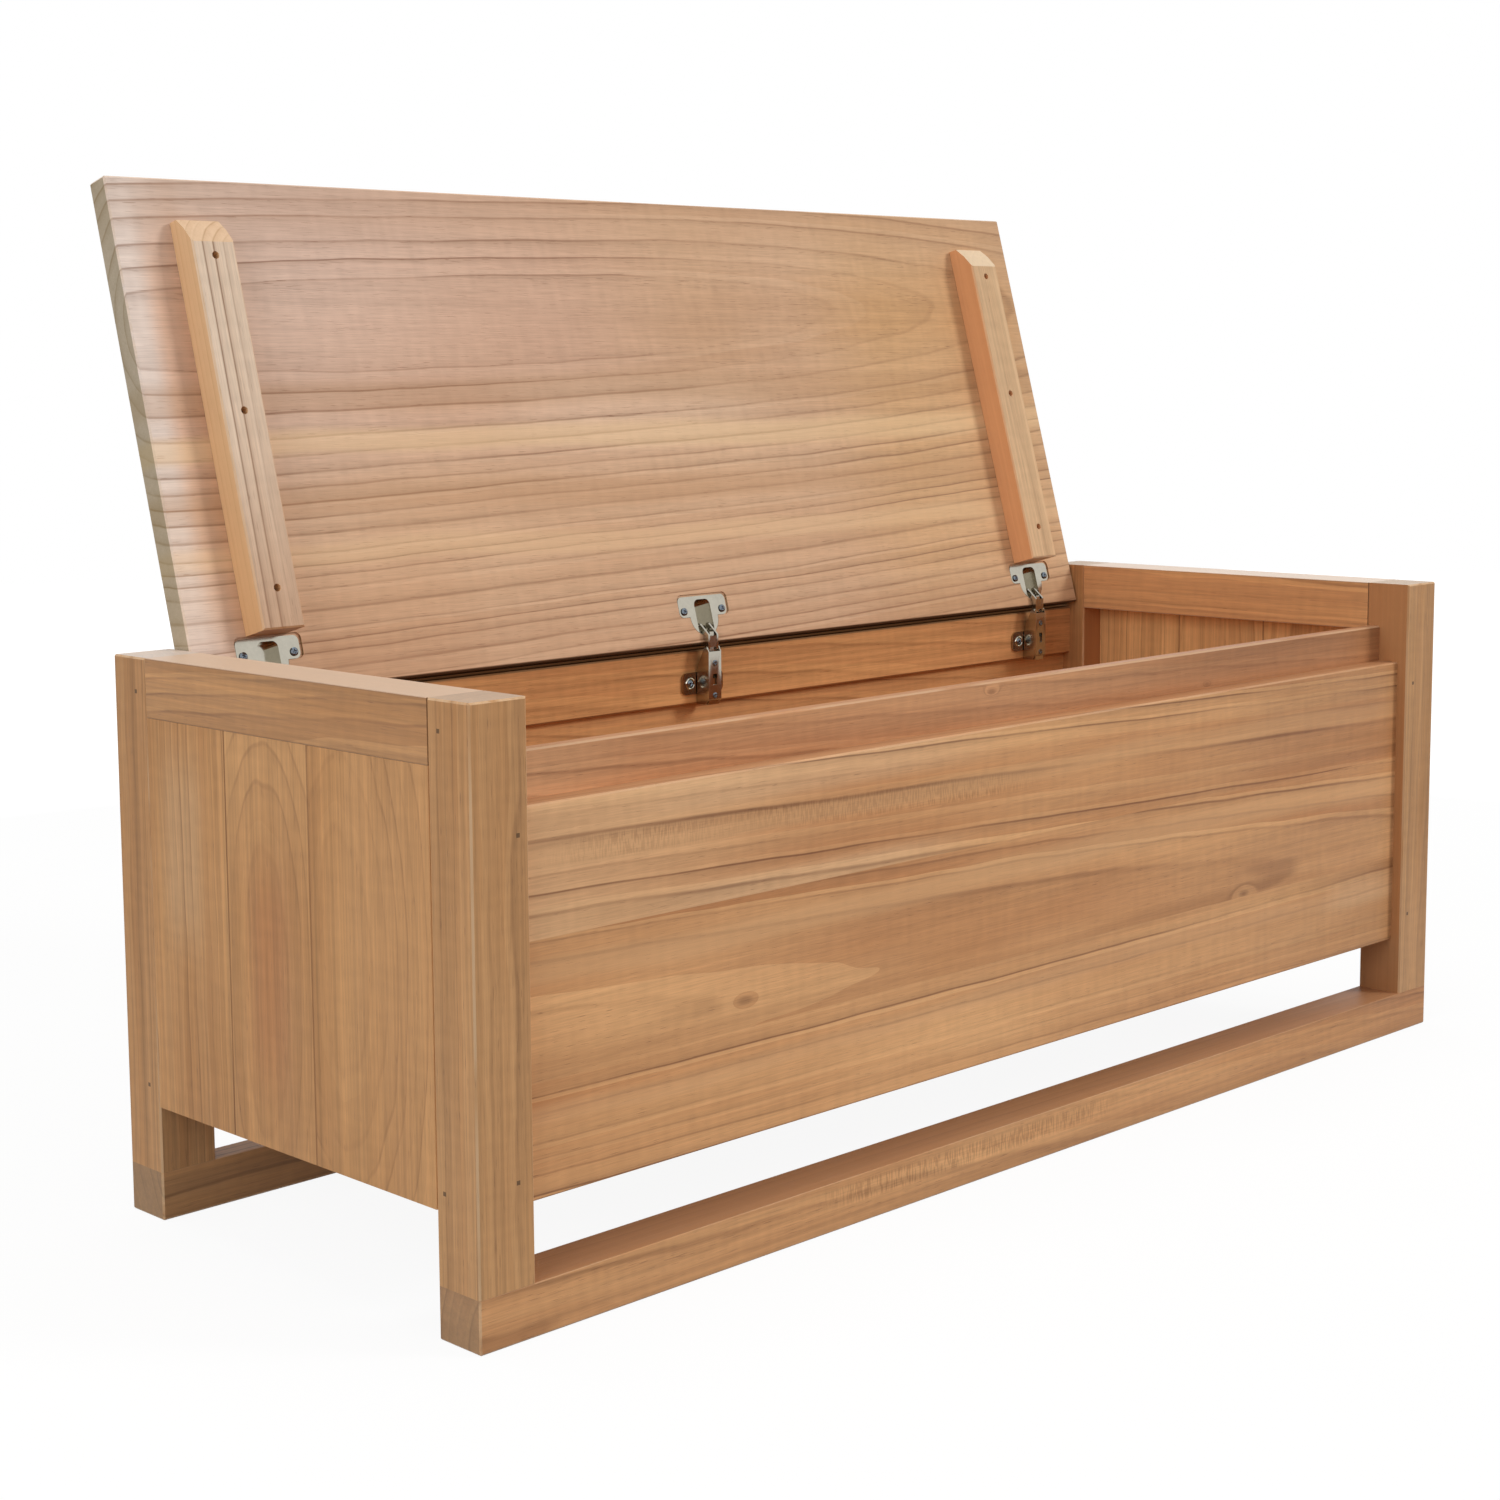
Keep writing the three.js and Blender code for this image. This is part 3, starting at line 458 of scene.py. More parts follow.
def board_place(g, node, grain, face, on_lid):
    """The place on a board and the normal there, both as (along, across, depth), and half of the
    board's width. The place is from the board's middle."""
    low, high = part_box(node)
    coords = g.node("ShaderNodeTexCoord")
    place, normal = coords.outputs["Object"], coords.outputs["Normal"]
    if on_lid:
        low, high = extents([LID_FRAME.inverted() @ v.co for v in NODES[node].data.vertices])
        back = g.node("ShaderNodeMapping", vector_type="TEXTURE")
        back.inputs["Location"].default_value = LID_ORIGIN
        back.inputs["Rotation"].default_value = (LID_TURN, 0, 0)
        g.put(back.inputs["Vector"], place)
        place = back.outputs[0]
        turned = g.node("ShaderNodeMapping", vector_type="VECTOR")
        turned.inputs["Rotation"].default_value = (-LID_TURN, 0, 0)
        g.put(turned.inputs["Vector"], normal)
        normal = turned.outputs[0]
    middle = (low + high) / 2
    spot = g.parts(place)
    flat = g.parts(normal)
    third = ({"x", "y", "z"} - {grain, face}).pop()
    order = [AXES[grain], AXES[third], AXES[face]]
    local = [g.math("SUBTRACT", spot[i], middle[i]) for i in order]
    half = (high[order[1]] - low[order[1]]) / 2
    return local, [g.math("ABSOLUTE", flat[i]) for i in order], half


# A knot's width as a share of its length along the grain
KNOT_SHAPE = 0.45


def knot_ring(g, a, b, x, y, size):
    """1 at a place on the board, falling to nothing over the given size, longer along the grain"""
    long = g.math("POWER", g.mul(g.add(a, -x), KNOT_SHAPE / size), 2.0)
    wide = g.math("POWER", g.mul(g.add(b, -y), 1.0 / size), 2.0)
    return g.math("EXPONENT", g.mul(g.add(long, wide), -1.0))


def fleck_band(g, place, start, end, height, slope, width):
    """Ray fleck from one place along the board to another, at a height that slopes"""
    a, b, c = place
    band = g.near(g.add(b, g.mul(a, slope)), height, width, 0.5)
    patchy = g.step(g.noise(g.stretched(a, b, c, 5.0, 30.0), 1.0), 0.36, 0.6)
    reach = g.near(a, (start + end) / 2, (end - start) / 2, 0.6)
    return g.mul(band, patchy, reach)


def peg_mask(g, node):
    """1 on the square ends of the wooden pegs in a post"""
    place = g.node("ShaderNodeTexCoord").outputs["Object"]
    squares = []
    for spot in PEGS[node]:
        off = g.node("ShaderNodeVectorMath", operation="SUBTRACT")
        g.put(off.inputs[0], place)
        off.inputs[1].default_value = spot
        sides = [g.math("ABSOLUTE", v) for v in g.parts(off.outputs[0])]
        squares.append(g.step(g.most(*sides), PEG_HALF, PEG_HALF * 0.8))
    return g.most(*squares)


def wood(node, grain, face, look, seed, *, on_lid=False, spacing=0.014, crowd=0.0,
         pith=(0.0, 0.06), rise=(0.0, 0.08), bow=0.0, wander=0.006, lines=0.55, bands=0.4,
         calm=1.0, even=0.0, heart=None, wear=0.5, seam=0.0, gloss=0.27, side_light_and_shade=None,
         sawn=(140, 116, 90), end_reach=0.75, back_edge_shade=None, knots=(), fleck=None, fades=(),
         patches=(), streaks=()):
    """A material for one board, cut from its own part of the tree. Places are from the board's
    middle, a along the grain and b across the face. Colours are as they look, from 0 to 255.

    spacing to bands, calm and even: the growth rings and streaks, as in the timber group
    heart: (start, stop, radius), between which a the lines nearer to the pith turn faint
    wear, seam: how pale the rounded edges are, from wear and a painted highlight, and how dirty
    the long sides
    side_light_and_shade, sawn: colours of the long sides, which are painted light and shade, and
    of the end grain
    end_reach: how far a face has to turn to the grain's direction to be end grain
    back_edge_shade: colour of the painted shade in a narrow strip along the high side
    knots: (a, b, size) each
    fleck: (start, end, b, slope, width)
    fades: (start, stop, amount, colour, tilt) each, a ground colour that comes in along a
    patches: ((a, b), (reach along, reach across), amount, colour) each, in the ground colour
    streaks: (b, half width, amount, colour) each, over the growth lines
    """
    material, g, shader = new_material(f"wood_{node}")
    (a, b, c), (end, side, front), half = board_place(g, node, grain, face, on_lid)
    light, deep, line = PALETTE[look]
    grounds = [
        (g.step(g.add(a, g.mul(b, tilt)), start, stop), amount, towards)
        for start, stop, amount, towards, tilt in fades
    ] + [
        (g.mul(*(g.near(v, at, far, 0.3) for v, at, far in zip((a, b), spot, reach))),
         amount, towards)
        for spot, reach, amount, towards in patches
    ]
    for mask, amount, towards in grounds:
        share = g.mul(mask, amount)
        light, deep = (g.mix(share, ground, srgb(*towards)) for ground in (light, deep))

    timber = g.node("ShaderNodeGroup")
    timber.node_tree = TIMBER
    values = {
        "Vector": g.vector(a, b, c), "Spacing": spacing, "Crowd": crowd,
        "Pith Across": pith[0], "Pith Depth": pith[1], "Rise Across": rise[0],
        "Rise Depth": rise[1], "Bow": bow, "Wander": wander, "Seed": seed, "Light": light,
        "Deep": deep, "Line": line, "Line Strength": lines, "Banding": bands,
        "Streaks": calm, "Evenness": even,
    }
    if heart:
        start, stop, radius = heart
        values["Heart"] = g.scaled(g.step(a, start, stop), radius, 0.001)
    if fleck:
        values["Fleck"] = fleck_band(g, (a, b, c), *fleck)
    if knots:
        values["Knot"] = g.most(*(knot_ring(g, a, b, *knot) for knot in knots))
    for name, value in values.items():
        g.put(timber.inputs[name], value)
    colour = timber.outputs["Color"]

    for height, width, amount, towards in streaks:
        bent = g.add(b, g.centred(g.noise(g.stretched(a, b, c, 3.0, 6.0), 1.0), 0.03))
        colour = g.mix(g.mul(g.near(bent, height, width, 0.3), amount), colour, srgb(*towards))

    # End grain has its sawn colour, the planed edges are pale from wear and a painted highlight,
    # and dirt lies along a seam
    cut = g.step(end, end_reach, end_reach + 0.15)
    colour = g.mix(g.mul(cut, SAWN_AMOUNT), colour, srgb(*sawn))
    rubbed_and_lit = g.step(g.most(end, side, front), 0.965, 0.80)
    rubbed_and_lit = g.mul(rubbed_and_lit, g.step(g.noise(g.stretched(a, b, c, 14.0, 90.0), 1.0), 0.25, 0.6))
    colour = g.mix(g.mul(rubbed_and_lit, wear), colour, WORN_AND_LIT_EDGE)
    if seam:
        dirt = g.step(g.math("ABSOLUTE", b), half - DIRT_START, half - DIRT_FULL)
        colour = g.mix(g.mul(dirt, seam), colour, SEAM_DIRT)
    # Painted light and shade: the long sides get their own colour for how the light falls on them
    if side_light_and_shade:
        faced = g.step(side, 0.5, 0.9)
        colour = g.mix(g.mul(faced, SIDE_LIGHT_AND_SHADE_AMOUNT), colour, srgb(*side_light_and_shade))
    # Painted shade: a dark strip along the board's high side, where the gap under the lid is in
    # shadow
    if back_edge_shade:
        strip = g.step(b, half - BACK_EDGE_SHADE_START, half - BACK_EDGE_SHADE_FULL)
        colour = g.mix(g.mul(strip, BACK_EDGE_SHADE_AMOUNT), colour, srgb(*back_edge_shade))
    if node in PEGS:
        colour = g.mix(g.mul(peg_mask(g, node), PEG_AMOUNT), colour, PEG_END)
    g.put(shader.inputs["Base Color"], colour)

    rough = g.centred(g.noise(g.stretched(a, b, c, 9.0, 60.0), 1.0), WOOD_ROUGHNESS_SPREAD)
    g.put(shader.inputs["Roughness"], g.add(WOOD_ROUGHNESS, rough))
    shader.inputs["Specular IOR Level"].default_value = gloss
    g.bump(shader, timber.outputs["Height"], *WOOD_BUMP)
    return material


def metal(name, colour, roughness, spread, scale):
    """Plated steel with rub marks, small pits and uneven gloss"""
    material, g, shader = new_material(name)
    shader.inputs["Metallic"].default_value = 1.0
    place = g.node("ShaderNodeTexCoord").outputs["Object"]
    rub = g.noise(place, 3.0, 0.6, scale)
    cloud = g.noise(place, 2.0, 0.5, 90.0)
    dark = tuple(v * METAL_DARK for v in colour[:3]) + (1,)
    wear = g.add(g.mul(rub, 0.6), g.mul(cloud, 0.4))
    g.put(shader.inputs["Base Color"], g.mix(wear, dark, colour))
    g.put(shader.inputs["Roughness"], g.add(roughness, g.centred(rub, spread)))
    g.bump(shader, rub, *METAL_BUMP)
    return material


# Colours that several boards share
# Post tops: end grain, paled by a painted sheen
POST_END_AND_SHEEN = (206, 196, 182)
# Painted shade: a darker tan that front boards take towards their right ends
PAINTED_SHADE_TAN = (150, 100, 62)
BROWN = (150, 98, 62)
STRAW = (232, 182, 132)
# A pale tan; towards the left end of a front board it is painted light
PALE_TAN = (240, 196, 150)
CREAM = (246, 204, 160)

# Boards: node, grain axis, face axis, look, seed and what differs from a plain board
BOARDS = (
    ("front_left_post", "z", "y", "post", 1.0,
     dict(pith=(0.03, 0.11), rise=(0.02, 0.01), spacing=0.0075, lines=0.42,
          # Its top's pale colour is partly a painted sheen
          sawn=(190, 178, 164))),
    ("front_right_post", "z", "y", "post", 2.3,
     dict(pith=(0.04, 0.12), rise=(0.0, 0.02), spacing=0.007, lines=0.32,
          # Its long sides carry painted shade and its top a painted sheen
          side_light_and_shade=(178, 122, 78), sawn=POST_END_AND_SHEEN,
          fades=((0.0, -0.12, 0.35, (228, 178, 130), 0.0),))),
    ("back_left_post", "z", "x", "post", 3.7,
     dict(pith=(0.05, 0.10), rise=(0.02, 0.01), spacing=0.007, lines=0.42,
          # Its top is paled by a painted sheen
          sawn=(220, 216, 210))),
    ("back_right_post", "z", "x", "post", 4.9,
     dict(pith=(-0.05, 0.10), rise=(0.0, 0.02), spacing=0.008, lines=0.42,
          # Its long sides carry painted shade and its top a painted sheen
          side_light_and_shade=(180, 122, 78), sawn=POST_END_AND_SHEEN)),
    ("front_bottom_rail", "x", "y", "panel", 6.2,
     dict(pith=(-0.03, 0.09), rise=(0.02, 0.02), spacing=0.010, lines=0.6,
          # Its top carries painted shade, and its fade paints shade towards the right end
          side_light_and_shade=(187, 134, 95), fleck=(-0.30, 0.12, 0.006, 0.0, 0.010),
          fades=((0.1, 0.6, 0.25, PAINTED_SHADE_TAN, 0.0),),
          streaks=((-0.012, 0.012, 0.25, BROWN),))),
    ("back_bottom_rail", "x", "y", "post", 7.4,
     dict(pith=(0.03, 0.1), rise=(0.01, 0.01), spacing=0.009, lines=0.6)),
    ("left_top_rail", "y", "x", "honey", 8.8,
     dict(pith=(-0.05, 0.12), rise=(0.06, 0.02), spacing=0.008, lines=0.5, wear=0.12,
          # Its top is paled by a painted sheen
          seam=0.35, gloss=0.5, side_light_and_shade=(222, 196, 172))),
    ("right_top_rail", "y", "x", "inside", 9.6,
     dict(pith=(0.05, 0.12), rise=(0.03, 0.02), spacing=0.009, lines=0.5, wear=0.12,
          # Its top is paled by a painted sheen
          seam=0.35, gloss=0.5, side_light_and_shade=(240, 224, 208))),
    ("left_end_board_1", "z", "x", "honey", 11.5,
     dict(pith=(0.034, 0.052), rise=(0.0, -0.01), bow=1.1, spacing=0.015, crowd=1.0,
          wander=0.011, lines=0.28, bands=0.1, wear=0.05, seam=0.4)),
    ("left_end_board_2", "z", "x", "honey", 12.1,
     dict(pith=(0.004, 0.044), rise=(0.02, 0.10), bow=1.1, spacing=0.014, crowd=1.0,
          wander=0.010, lines=0.28, bands=0.1, wear=0.05, seam=0.4,
          fades=((0.0, 0.14, 0.35, (234, 184, 130), 0.0),),
          patches=(((-0.03, 0.0), (0.11, 0.034), 0.4, (186, 122, 80)),))),
    ("left_end_board_3", "z", "x", "honey", 13.9,
     dict(pith=(0.10, 0.08), rise=(0.01, 0.02), spacing=0.0075, lines=0.55, wear=0.05,
          seam=0.5, patches=(((0.05, 0.003), (0.10, 0.035), 0.4, (214, 178, 138)),))),
    ("right_end_board_1", "z", "x", "glow", 14.3,
     dict(pith=(0.0, 0.05), rise=(0.02, 0.09), spacing=0.012, crowd=0.5, lines=0.6,
          wear=0.05, seam=0.5)),
    ("right_end_board_2", "z", "x", "glow", 15.2,
     dict(pith=(0.02, 0.05), rise=(0.0, 0.10), spacing=0.012, crowd=0.5, lines=0.6,
          wear=0.05, seam=0.5)),
    ("right_end_board_3", "z", "x", "glow", 16.8,
     dict(pith=(-0.10, 0.07), rise=(0.0, 0.02), spacing=0.0075, lines=0.55, wear=0.05,
          seam=0.5)),
    ("front_board_1", "x", "y", "panel", 17.7,
     dict(pith=(0.09, 0.06), rise=(0.025, 0.03), spacing=0.015, wander=0.004, lines=0.8,
          calm=0.6, wear=0.15,
          # Its fade paints shade towards the right end
          fades=((0.25, 0.6, 0.45, PAINTED_SHADE_TAN, 0.0),),
          patches=(((0.50, 0.016), (0.09, 0.02), 0.3, PALE_TAN),),
          streaks=((0.037, 0.010, 0.15, BROWN), (0.0145, 0.010, 0.25, (234, 184, 136))))),
    ("front_board_2", "x", "y", "panel", 18.4,
     dict(pith=(-0.030, 0.0718), rise=(0.012, 0.032), spacing=0.019, crowd=0.7, wander=0.004,
          lines=0.85, bands=0.6, calm=0.6, wear=0.1,
          knots=((-0.34, -0.028, 0.006), (0.297, -0.046, 0.006)),
          # Its first patch paints shade towards the right end
          patches=(((0.42, -0.012), (0.24, 0.034), 0.42, (168, 118, 80)),),
          streaks=((0.025, 0.014, 0.4, STRAW), (-0.046, 0.012, 0.25, BROWN)))),
    ("front_board_3", "x", "y", "panel", 19.6,
     dict(pith=(-0.09, 0.07), rise=(0.022, 0.01), spacing=0.014, wander=0.003, lines=0.9,
          # Its top edge carries painted shade. Its fades paint light at the left end and shade
          # towards the right, and its first patch paints shade at the right end
          bands=0.6, calm=0.6, wear=0.3, side_light_and_shade=(178, 128, 90),
          fleck=(-0.56, 0.02, 0.000, 0.021, 0.011),
          fades=((-0.15, -0.6, 0.6, PALE_TAN, 0.0), (0.1, 0.5, 0.12, PAINTED_SHADE_TAN, 0.0)),
          patches=(((0.44, 0.022), (0.2, 0.034), 0.35, (170, 118, 80)),
                   ((-0.26, 0.036), (0.26, 0.02), 0.35, CREAM),
                   ((-0.26, -0.042), (0.22, 0.016), 0.4, CREAM)),
          streaks=((0.006, 0.010, 0.3, STRAW),))),
    ("front_lid_rail", "x", "y", "rust", 21.2,
     dict(pith=(-0.05, 0.08), rise=(0.015, 0.03), spacing=0.012, lines=0.6, wear=0.6,
          # Its top carries painted shade, and its fades paint shade towards the right and light at
          # the left
          side_light_and_shade=(180, 130, 94), knots=((-0.036, 0.024, 0.004), (0.264, 0.002, 0.004)),
          fades=((-0.2, 0.4, 0.6, (158, 106, 68), 0.0),
                 (-0.4, -0.55, 0.5, (230, 180, 136), 0.0)))),
    ("back_top_rail", "x", "y", "inside", 22.5,
     dict(pith=(-0.04, 0.07), rise=(0.02, 0.03), spacing=0.014, lines=0.4, wear=0.15,
          # Its top is painted dark, as shade in the gap under the lid
          gloss=0.0, side_light_and_shade=(70, 40, 24))),
    ("back_panel", "x", "y", "inside", 23.1,
     dict(pith=(0.04, 0.08), rise=(0.02, 0.06), spacing=0.015, lines=0.6, wear=0.1)),
    ("floor_panel", "x", "z", "inside", 24.8,
     dict(pith=(0.03, 0.08), rise=(0.02, 0.08), spacing=0.016, lines=0.6)),
    ("front_floor_cleat", "x", "y", "inside", 25.4, dict(spacing=0.008)),
    ("back_floor_cleat", "x", "y", "inside", 26.6, dict(spacing=0.008)),
    ("lid_panel", "x", "z", "lid", 27.9,
     dict(on_lid=True, pith=(-0.1007, 0.049), rise=(0.030, 0.035), bow=0.08, spacing=0.025,
          crowd=0.75, wander=0.005, lines=0.85, calm=0.45, even=0.6,
          heart=(-0.2, 0.15, 0.062), wear=0.3, gloss=0.12, sawn=(134, 120, 74),
          # Its back edge carries painted shade, its fades paint a pale sheen towards the left, and
          # its first patch paints the warm shadow cast by the left batten
          back_edge_shade=(40, 24, 15),
          fades=((-0.20, -0.72, 0.72, (216, 200, 190), 0.9),
                 (-0.485, -0.53, 0.75, (236, 222, 212), 0.0)),
          patches=(((-0.508, -0.01), (0.03, 0.24), 0.55, (204, 146, 100)),
                   ((0.42, 0.0), (0.25, 0.30), 0.38, (206, 156, 86)),
                   ((-0.25, -0.11), (0.34, 0.20), 0.35, (220, 184, 170)),
                   ((-0.36, 0.17), (0.14, 0.10), 0.35, (196, 148, 112)),
                   ((-0.02, -0.012), (0.25, 0.05), 0.35, (240, 212, 184))),
          streaks=((0.10, 0.10, 0.14, (244, 206, 166)), (0.011, 0.016, 0.45, (242, 208, 162)),
                   (0.2, 0.04, 0.25, (176, 132, 98)), (-0.2, 0.05, 0.2, (178, 134, 98)),
                   (0.105, 0.014, 0.35, (240, 204, 160)), (-0.03, 0.02, 0.3, (184, 142, 104)),
                   (0.06, 0.018, 0.3, (184, 140, 102))))),
    ("left_lid_batten", "y", "z", "pale", 29.3,
     dict(on_lid=True, pith=(0.05, 0.09), rise=(0.02, 0.01), spacing=0.0052, wander=0.0008,
          # Its sides carry painted light and shade
          lines=0.8, calm=0.5, wear=0.2, side_light_and_shade=(222, 176, 124), sawn=(206, 160, 112),
          end_reach=0.4, fades=((-0.08, 0.2, 0.7, (180, 136, 100), 0.0),))),
    ("right_lid_batten", "y", "z", "gold", 31.7,
     dict(on_lid=True, pith=(0.05, 0.12), rise=(0.02, 0.02), spacing=0.008, lines=0.35,
          # Its sides carry painted light and shade
          wear=0.25, side_light_and_shade=(226, 158, 106), sawn=(226, 206, 176), end_reach=0.4)),
)


# Smooth shading for the metal, where edges sharper than this stay sharp
SHARP_ANGLE = math.radians(38)


def smooth_group():
    """Faces shade smoothly across an edge, unless it is sharper than a rounded one"""
    tree = bpy.data.node_groups.new("Smooth by angle", "GeometryNodeTree")
    for in_out in ("INPUT", "OUTPUT"):
        tree.interface.new_socket("Geometry", in_out=in_out, socket_type="NodeSocketGeometry")
    g = Graph(tree)
    start = g.node("NodeGroupInput").outputs[0]
    faces = g.node("GeometryNodeSetShadeSmooth", domain="FACE")
    g.put(faces.inputs["Geometry"], start)
    angle = g.node("GeometryNodeInputMeshEdgeAngle").outputs["Unsigned Angle"]
    sharp = g.node("FunctionNodeCompare", data_type="FLOAT", operation="GREATER_THAN")
    g.put(sharp.inputs[0], angle)
    g.put(sharp.inputs[1], SHARP_ANGLE)
    edges = g.node("GeometryNodeSetShadeSmooth", domain="EDGE")
    g.put(edges.inputs["Geometry"], faces.outputs[0])
    g.put(edges.inputs["Selection"], sharp.outputs[0])
    edges.inputs["Shade Smooth"].default_value = False
    g.put(g.node("NodeGroupOutput").inputs[0], edges.outputs[0])
    return tree


SMOOTH = smooth_group()


def smoothed(obj):
    obj.modifiers.new("weld", "WELD").merge_threshold = 0.001 * MM
    obj.modifiers.new("smooth", "NODES").node_group = SMOOTH


def dress(node, material):
    obj = NODES[node]
    obj.data.materials.clear()
    obj.data.materials.append(material)


for node, grain, face, look, seed, more in BOARDS:
    dress(node, wood(node, grain, face, look, seed, **more))

NICKEL = metal("satin_nickel", srgb(200, 194, 179), 0.13, 0.07, 260.0)
ARM_STEEL = metal("drawn_nickel", srgb(196, 190, 176), 0.2, 0.12, 700.0)
ZINC = metal("blue_zinc", srgb(128, 138, 148), 0.26, 0.16, 700.0)
for node in NODES:
    if node.endswith(("_hinge_plate", "_hinge_cup")):
        dress(node, NICKEL)
        smoothed(NODES[node])
    elif node.endswith(("_hinge_arm", "_outer_link", "_inner_link")):
        dress(node, ARM_STEEL)
        smoothed(NODES[node])


# Meshes of the scene's own
def add_object(name, data):
    obj = bpy.data.objects.new(name, data)
    bpy.context.scene.collection.objects.link(obj)
    return obj


def finished(name, build, material, body):
    """A mesh piece from a bmesh: material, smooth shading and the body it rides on"""
    mesh = bpy.data.meshes.new(name)
    bmesh.ops.recalc_face_normals(build, faces=build.faces)
    build.to_mesh(mesh)
    build.free()
    mesh.materials.append(material)
    obj = add_object(name, mesh)
    smoothed(obj)
    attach(obj, body)
    return obj


def circle(build, radius, z, sides):
    """A circle of vertices round the z axis"""
    turns = (2 * math.pi * k / sides for k in range(sides))
    return [build.verts.new((radius * math.cos(t), radius * math.sin(t), z)) for t in turns]


def bridge(build, row, other):
    """Faces between two closed rows of as many vertices"""
    for k in range(len(row)):
        n = (k + 1) % len(row)
        build.faces.new((row[k], row[n], other[n], other[k]))


def round_grid(build, radius, cells, height):
    """A round patch of quads, laid out as a square grid that is bent to a disc. height gives the
    z of a place. Returns the patch's rim in order."""
    rows = []
    for i in range(cells + 1):
        row = []
        for j in range(cells + 1):
            u, v = 2 * i / cells - 1, 2 * j / cells - 1
            x, y = u * math.sqrt(1 - v * v / 2) * radius, v * math.sqrt(1 - u * u / 2) * radius
            row.append(build.verts.new((x, y, height(x, y))))
        rows.append(row)
    for i in range(cells):
        for j in range(cells):
            build.faces.new((rows[i][j], rows[i + 1][j], rows[i + 1][j + 1], rows[i][j + 1]))
    steps = range(cells)
    return (
        [rows[i][0] for i in steps] + [rows[cells][j] for j in steps]
        + [rows[cells - i][cells] for i in steps] + [rows[0][cells - j] for j in steps]
    )


def loft(build, rim, rings):
    """Carries a rim of vertices through (radius, z) rings and closes it with a face"""
    for radius, z in rings:
        turns = [math.atan2(v.co.y, v.co.x) for v in rim]
        row = [build.verts.new((radius * math.cos(t), radius * math.sin(t), z)) for t in turns]
        bridge(build, rim, row)
        rim = row
    build.faces.new(rim)


# Screws
# The cross recess: its arms' length and half width as shares of the head's radius, its depth as a
# share of the head's height
RECESS_ARM, RECESS_HALF, RECESS_DEPTH = 0.58, 0.15, 0.75
# The head's height falls towards its rim by this share, along a curve of this power
DOME_FALL, DOME_POWER = 0.62, 2.6
HEAD_CELLS = 28
# The point's length as a share of the screw's, and its end's radius as a share of the shank's
TIP_LENGTH, TIP_RADIUS = 0.12, 0.2


def cross_screw(name, place, radius, dome, shank, length, turn, body):
    """A pan-head screw with a cross recess. Its head faces +z of the given place, whose origin is
    under the head."""
    build = bmesh.new()
    arm, slit, depth = radius * RECESS_ARM, radius * RECESS_HALF, dome * RECESS_DEPTH

    def height(x, y):
        away = math.hypot(x, y) / radius
        z = dome * (1 - DOME_FALL * away**DOME_POWER)
        x, y = abs(x), abs(y)
        long, short = max(x, y), min(x, y)
        if long < arm and short < slit:
            z -= depth * min(1, (arm - long) / (arm * 0.5), (slit - short) / (slit * 0.35))
        return z

    rim = round_grid(build, radius, HEAD_CELLS, height)
    tip = length * TIP_LENGTH
    rings = ((radius, 0), (shank, 0), (shank, -length + tip), (shank * TIP_RADIUS, -length))
    loft(build, rim, rings)
    build.transform(place @ Matrix.Rotation(turn, 4, "Z"))
    return finished(name, build, ZINC, body)


def screw_place(node, out):
    """The place on top of a CAD screw's head, with z out of the head, and the screw's length"""
    turn = Vector((0, 0, 1)).rotation_difference(out).to_matrix()
    low, high = extents([turn.inverted() @ v.co for v in NODES[node].data.vertices])
    top = Vector(((low[0] + high[0]) / 2, (low[1] + high[1]) / 2, high[2]))
    return Matrix.Translation(turn @ top) @ turn.to_4x4(), high[2] - low[2]


LID_OUT = LID_FRAME.to_3x3() @ Vector((0, 0, -1))
# Kinds of screw: body, the way out of the head, head radius, head height and shank radius
SCREW_KINDS = {
    "batten": ("lid", LID_OUT, 2.45 * MM, 1.0 * MM, 1.5 * MM),
    "cup": ("lid", LID_OUT, 3.5 * MM, 1.5 * MM, 1.6 * MM),
    "plate": ("chest", Vector((0, -1, 0)), 3.5 * MM, 2.0 * MM, 1.6 * MM),
}
# Radians from one screw's cross to the next one's
SCREW_TURN = 2.4


def make_screws():
    names = sorted(node for node in NODES if "_screw_" in node)
    for count, node in enumerate(names):
        body, out, radius, dome, shank = SCREW_KINDS[node.split("_")[1]]
        top, length = screw_place(node, out)
        under = top @ Matrix.Translation((0, 0, -dome))
        piece = cross_screw(
            f"{node}_visual", under, radius, dome, shank, length - dome, count * SCREW_TURN, body
        )
        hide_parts(node)


make_screws()


# Hinge details
HINGES = {"left": -478 * MM, "middle": 0.0, "right": 478 * MM}
INWARD = Vector((0, -1, 0))
# The plane in front of the hinges from which their surfaces are looked for
PROBE_Y = -0.1
# The arms' adjusting screws: height and the turn of the cross
ADJUSTERS = ((349 * MM, 0.4), (379 * MM, 1.5))
# Their head radius, head height, shank radius and length
ADJUSTER_SIZES = (2.9 * MM, 0.7 * MM, 2.0 * MM, 1.0 * MM)
PLATE_SCREW_HEIGHT, PLATE_SCREW_REACH = 360 * MM, 16 * MM
# How far beside a plate screw the plate's bare surface is
BARE_PLATE = 5 * MM
# A dimple's ring round each plate screw: (radius, height) points
DIMPLE = tuple(
    (r * MM, z * MM)
    for r, z in ((3.7, -0.4), (5.9, -0.4), (5.7, 0.35), (5.2, 0.85), (4.6, 0.95), (4.0, 0.6))
)
DIMPLE_SIDES = 40


def surface_along(node, start, direction):
    """Where a line from a start first meets a CAD node"""
    tree = BVHTree.FromObject(NODES[node], bpy.context.evaluated_depsgraph_get())
    return tree.ray_cast(Vector(start), Vector(direction))[0]


